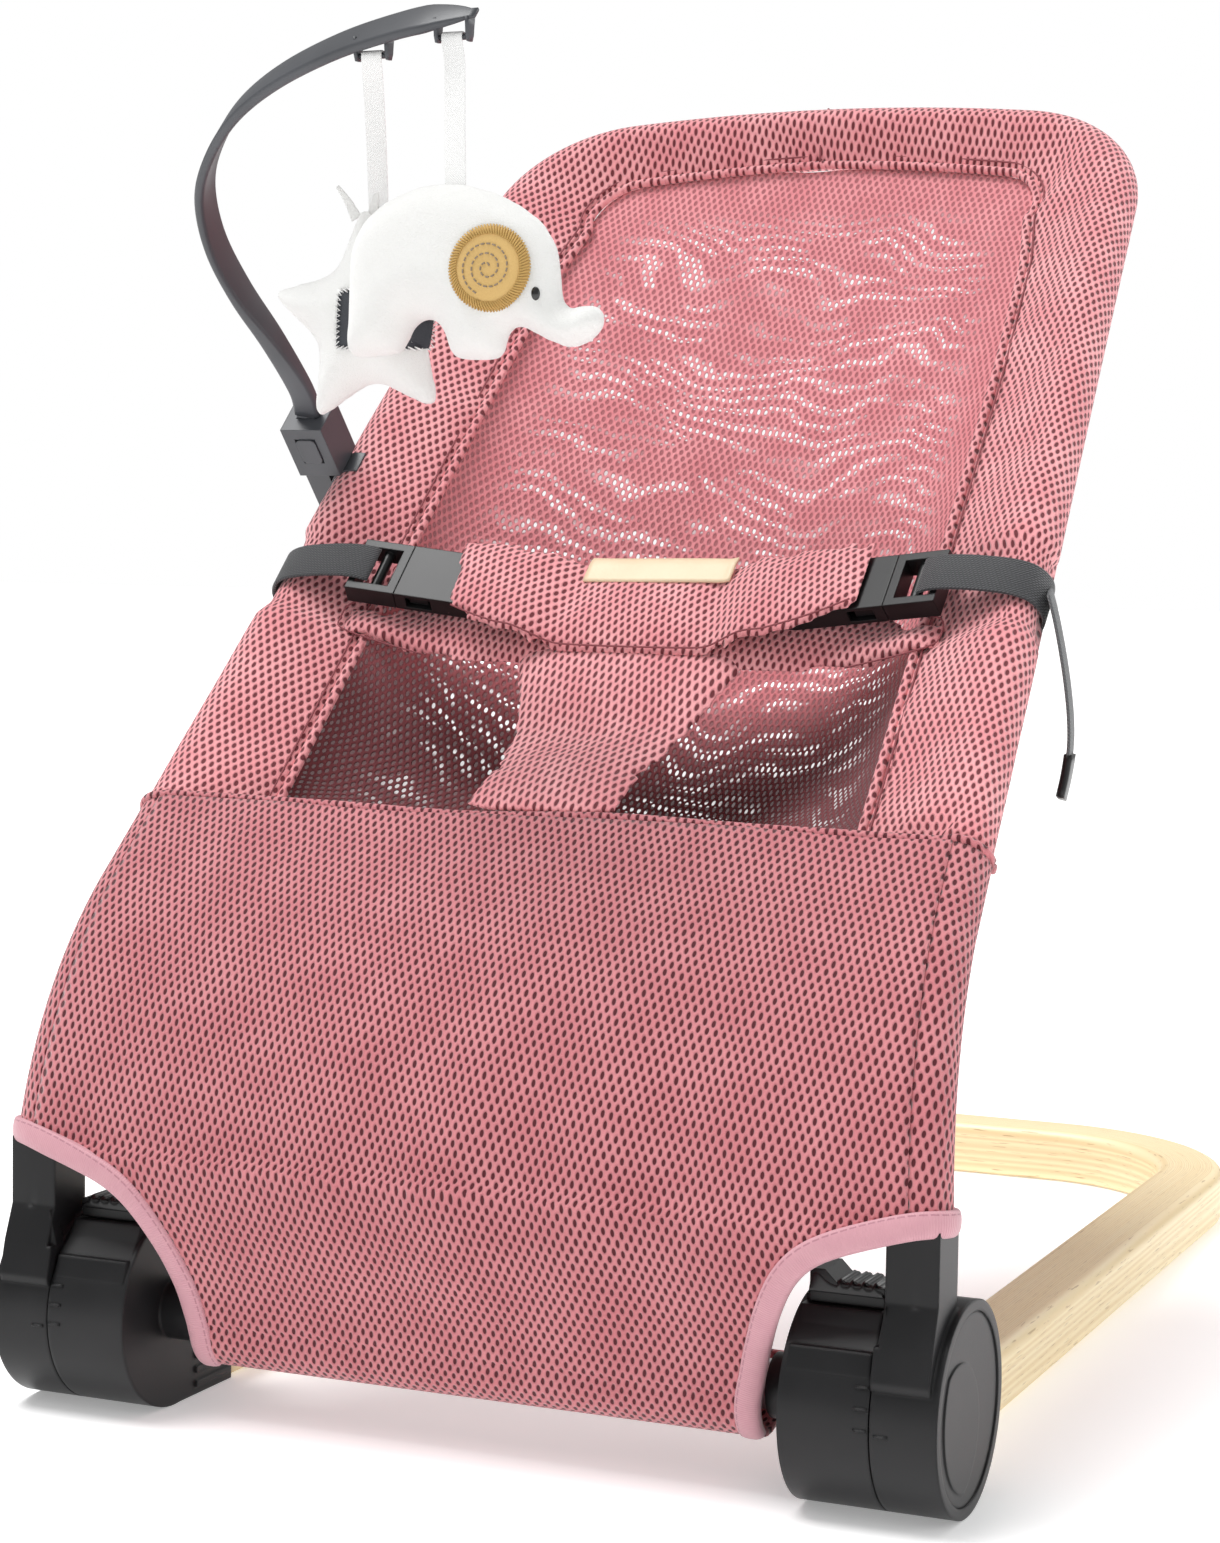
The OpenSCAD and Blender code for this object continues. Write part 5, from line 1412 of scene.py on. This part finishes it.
def star():
    y, half = TOY_Y["star"], TOY_HALF["star"]
    pts = []
    for i in range(10):
        a = math.radians(94 + 36 * i)
        r = 49.5 if i % 2 == 0 else 26.0
        pts.append(STAR_MID + r * np.array([math.cos(a), math.sin(a)]))
    dense = resample(np.vstack(pts + pts[:1]), 3.0)[:-1]
    for _ in range(3):
        dense = 0.25 * np.roll(dense, 1, 0) + 0.5 * dense + 0.25 * np.roll(dense, -1, 0)
    ob = stuffed("star_body", dense, y, half, 17.0)
    finish_piece(ob, "star", M["plush"], ["star_toy"])
    ribbon("star_ribbon", "star", HOOKS["star"], -6.0, y, 491.0, ["star_strap"])
    # painted shade: a dark sheet on the star behind the elephant, where the gap between the toys lies in shade, with
    # white zigzag stitches round it
    patch = np.array([(-87, 456), (-88, 433), (-70, 431.5), (-50, 433), (-48, 446), (-64, 458)])
    mid = patch.mean(0)
    rings = []
    for f in (0.02, 0.3, 0.6, 0.85, 1.0):
        ring = drape_line(ob, mid + (resample(np.vstack([patch, patch[:1]]), 2.0)[:-1] - mid) * f, 0.5)
        rings.append(ring)
    count = min(len(r) for r in rings)
    rings = np.array([r[:count] for r in rings])
    cover = add_mesh("star_gap_shade", rings, grid_faces(*rings.shape[:2], close_v=True))
    finish_piece(cover, "star", M["painted_gap_shade"])
    border = resample(np.vstack([patch, patch[:1]]), 1.1)
    outside = np.arange(len(border))[:, None] % 2 == 0
    mids = np.where(outside, mid + (border - mid) * 1.05, mid + (border - mid) * 0.92)
    zig = sweep("star_patch_zigzag", drape_line(ob, mids, 0.9), circle(0.36, 6), (0, 1, 0))
    finish_piece(zig, "star", M["white_thread"])
    # two small white ribbon ends at the top tip
    for k, lean in enumerate((-9.0, 5.0)):
        base = np.array([STAR_MID[0] - 3 + lean * 0.5, y, STAR_MID[1] + 41])
        ends = curve_through([base, base + (lean * 0.4, -1, 7), base + (lean * 0.9, -1.5, 13)], 1.2)
        wide = np.linspace(5.0, 1.6, len(ends))
        loop = sweep(f"star_loop_{k}", ends, np.array([round_rect(1.0, w, 0.4, 2) for w in wide]), (0, 1, 0))
        finish_piece(loop, "star", M["plush"])


# ---------- set ----------

# the camera that shows the seat as in the reference view: lens in mm, place in metres, turns in radians
LENS, SENSOR = 74.2, 36.0
CAMERA_PLACE = (0.5313, -1.4103, 0.3615)
YAW, PITCH, ROLL = -0.4082, 0.0761, 0.0151
AMBIENT = 0.41
KEY_STRENGTH = 2.7
KEY_SPREAD = math.radians(32)
KEY_DIRECTION = (0.32, 0.14, -1.0)
# place, target, size and power of each area light
AREA_LIGHTS = {
    "softbox": ((-1.1, -1.5, 1.7), (0, -0.2, 0.2), (1.2, 0.9), 4),
    "fill": ((2.0, -0.5, 0.9), (0.25, 0.1, 0.08), (1.2, 1.2), 9),
    "rim": ((0.9, 1.9, 1.6), (0, 0, 0.3), (1.6, 1.0), 9),
}


def camera():
    cam = bpy.data.cameras.new("camera")
    cam.lens = LENS
    cam.sensor_width = SENSOR
    cam.clip_end = 50.0
    ob = bpy.data.objects.new("camera", cam)
    bpy.context.scene.collection.objects.link(ob)
    fwd = np.array([math.sin(YAW) * math.cos(PITCH), math.cos(YAW) * math.cos(PITCH), -math.sin(PITCH)])
    right = np.array([math.cos(YAW), -math.sin(YAW), 0.0])
    up = np.cross(right, fwd)
    r = right * math.cos(ROLL) + up * math.sin(ROLL)
    u = -right * math.sin(ROLL) + up * math.cos(ROLL)
    rot = Matrix((r, u, -fwd)).transposed().to_4x4()
    ob.matrix_world = Matrix.Translation(Vector(CAMERA_PLACE)) @ rot
    bpy.context.scene.camera = ob


def area_light(name, place, target, size, power):
    light = bpy.data.lights.new(name, "AREA")
    light.shape = "RECTANGLE"
    light.size, light.size_y = size
    light.energy = power
    ob = bpy.data.objects.new(name, light)
    bpy.context.scene.collection.objects.link(ob)
    ob.location = place
    ob.rotation_euler = (Vector(target) - Vector(place)).to_track_quat("-Z", "Y").to_euler()


def studio():
    me = bpy.data.meshes.new("floor")
    me.from_pydata([(-14, -14, 0), (14, -14, 0), (14, 14, 0), (-14, 14, 0)], [], [(0, 1, 2, 3)])
    floor = bpy.data.objects.new("floor", me)
    bpy.context.scene.collection.objects.link(floor)
    me.materials.append(floor_paper())
    world = bpy.data.worlds.new("studio")
    bpy.context.scene.world = world
    world.use_nodes = True
    tree = world.node_tree
    back = tree.nodes["Background"]
    back.inputs[0].default_value = (1.0, 1.0, 1.0, 1.0)
    # the backdrop is seen as white paper, and gives softer light than it shows
    seen = tree.nodes.new("ShaderNodeMapRange")
    tree.links.new(tree.nodes.new("ShaderNodeLightPath").outputs["Is Camera Ray"], seen.inputs["Value"])
    seen.inputs["To Min"].default_value = AMBIENT
    seen.inputs["To Max"].default_value = 1.0
    tree.links.new(seen.outputs["Result"], back.inputs[1])
    key = bpy.data.lights.new("key", "SUN")
    key.energy = KEY_STRENGTH
    key.angle = KEY_SPREAD
    ob = bpy.data.objects.new("key", key)
    bpy.context.scene.collection.objects.link(ob)
    ob.rotation_euler = Vector(KEY_DIRECTION).to_track_quat("-Z", "Y").to_euler()
    for name, (place, target, size, power) in AREA_LIGHTS.items():
        area_light(name, place, target, size, power)
    bpy.context.scene.view_settings.view_transform = "Standard"


camera()
studio()
make_materials()
dress_nodes()
bow()
hub_marks()
slide_grips()
PANEL = leg_panel()
side_wraps()
edge_binding(PANEL)
seat_border()
cover_seams()
seat_sling()
crotch_strap()
waist_pad()
waist_flap()
label_patch()
webbings()
toy_bar()
elephant()
star()
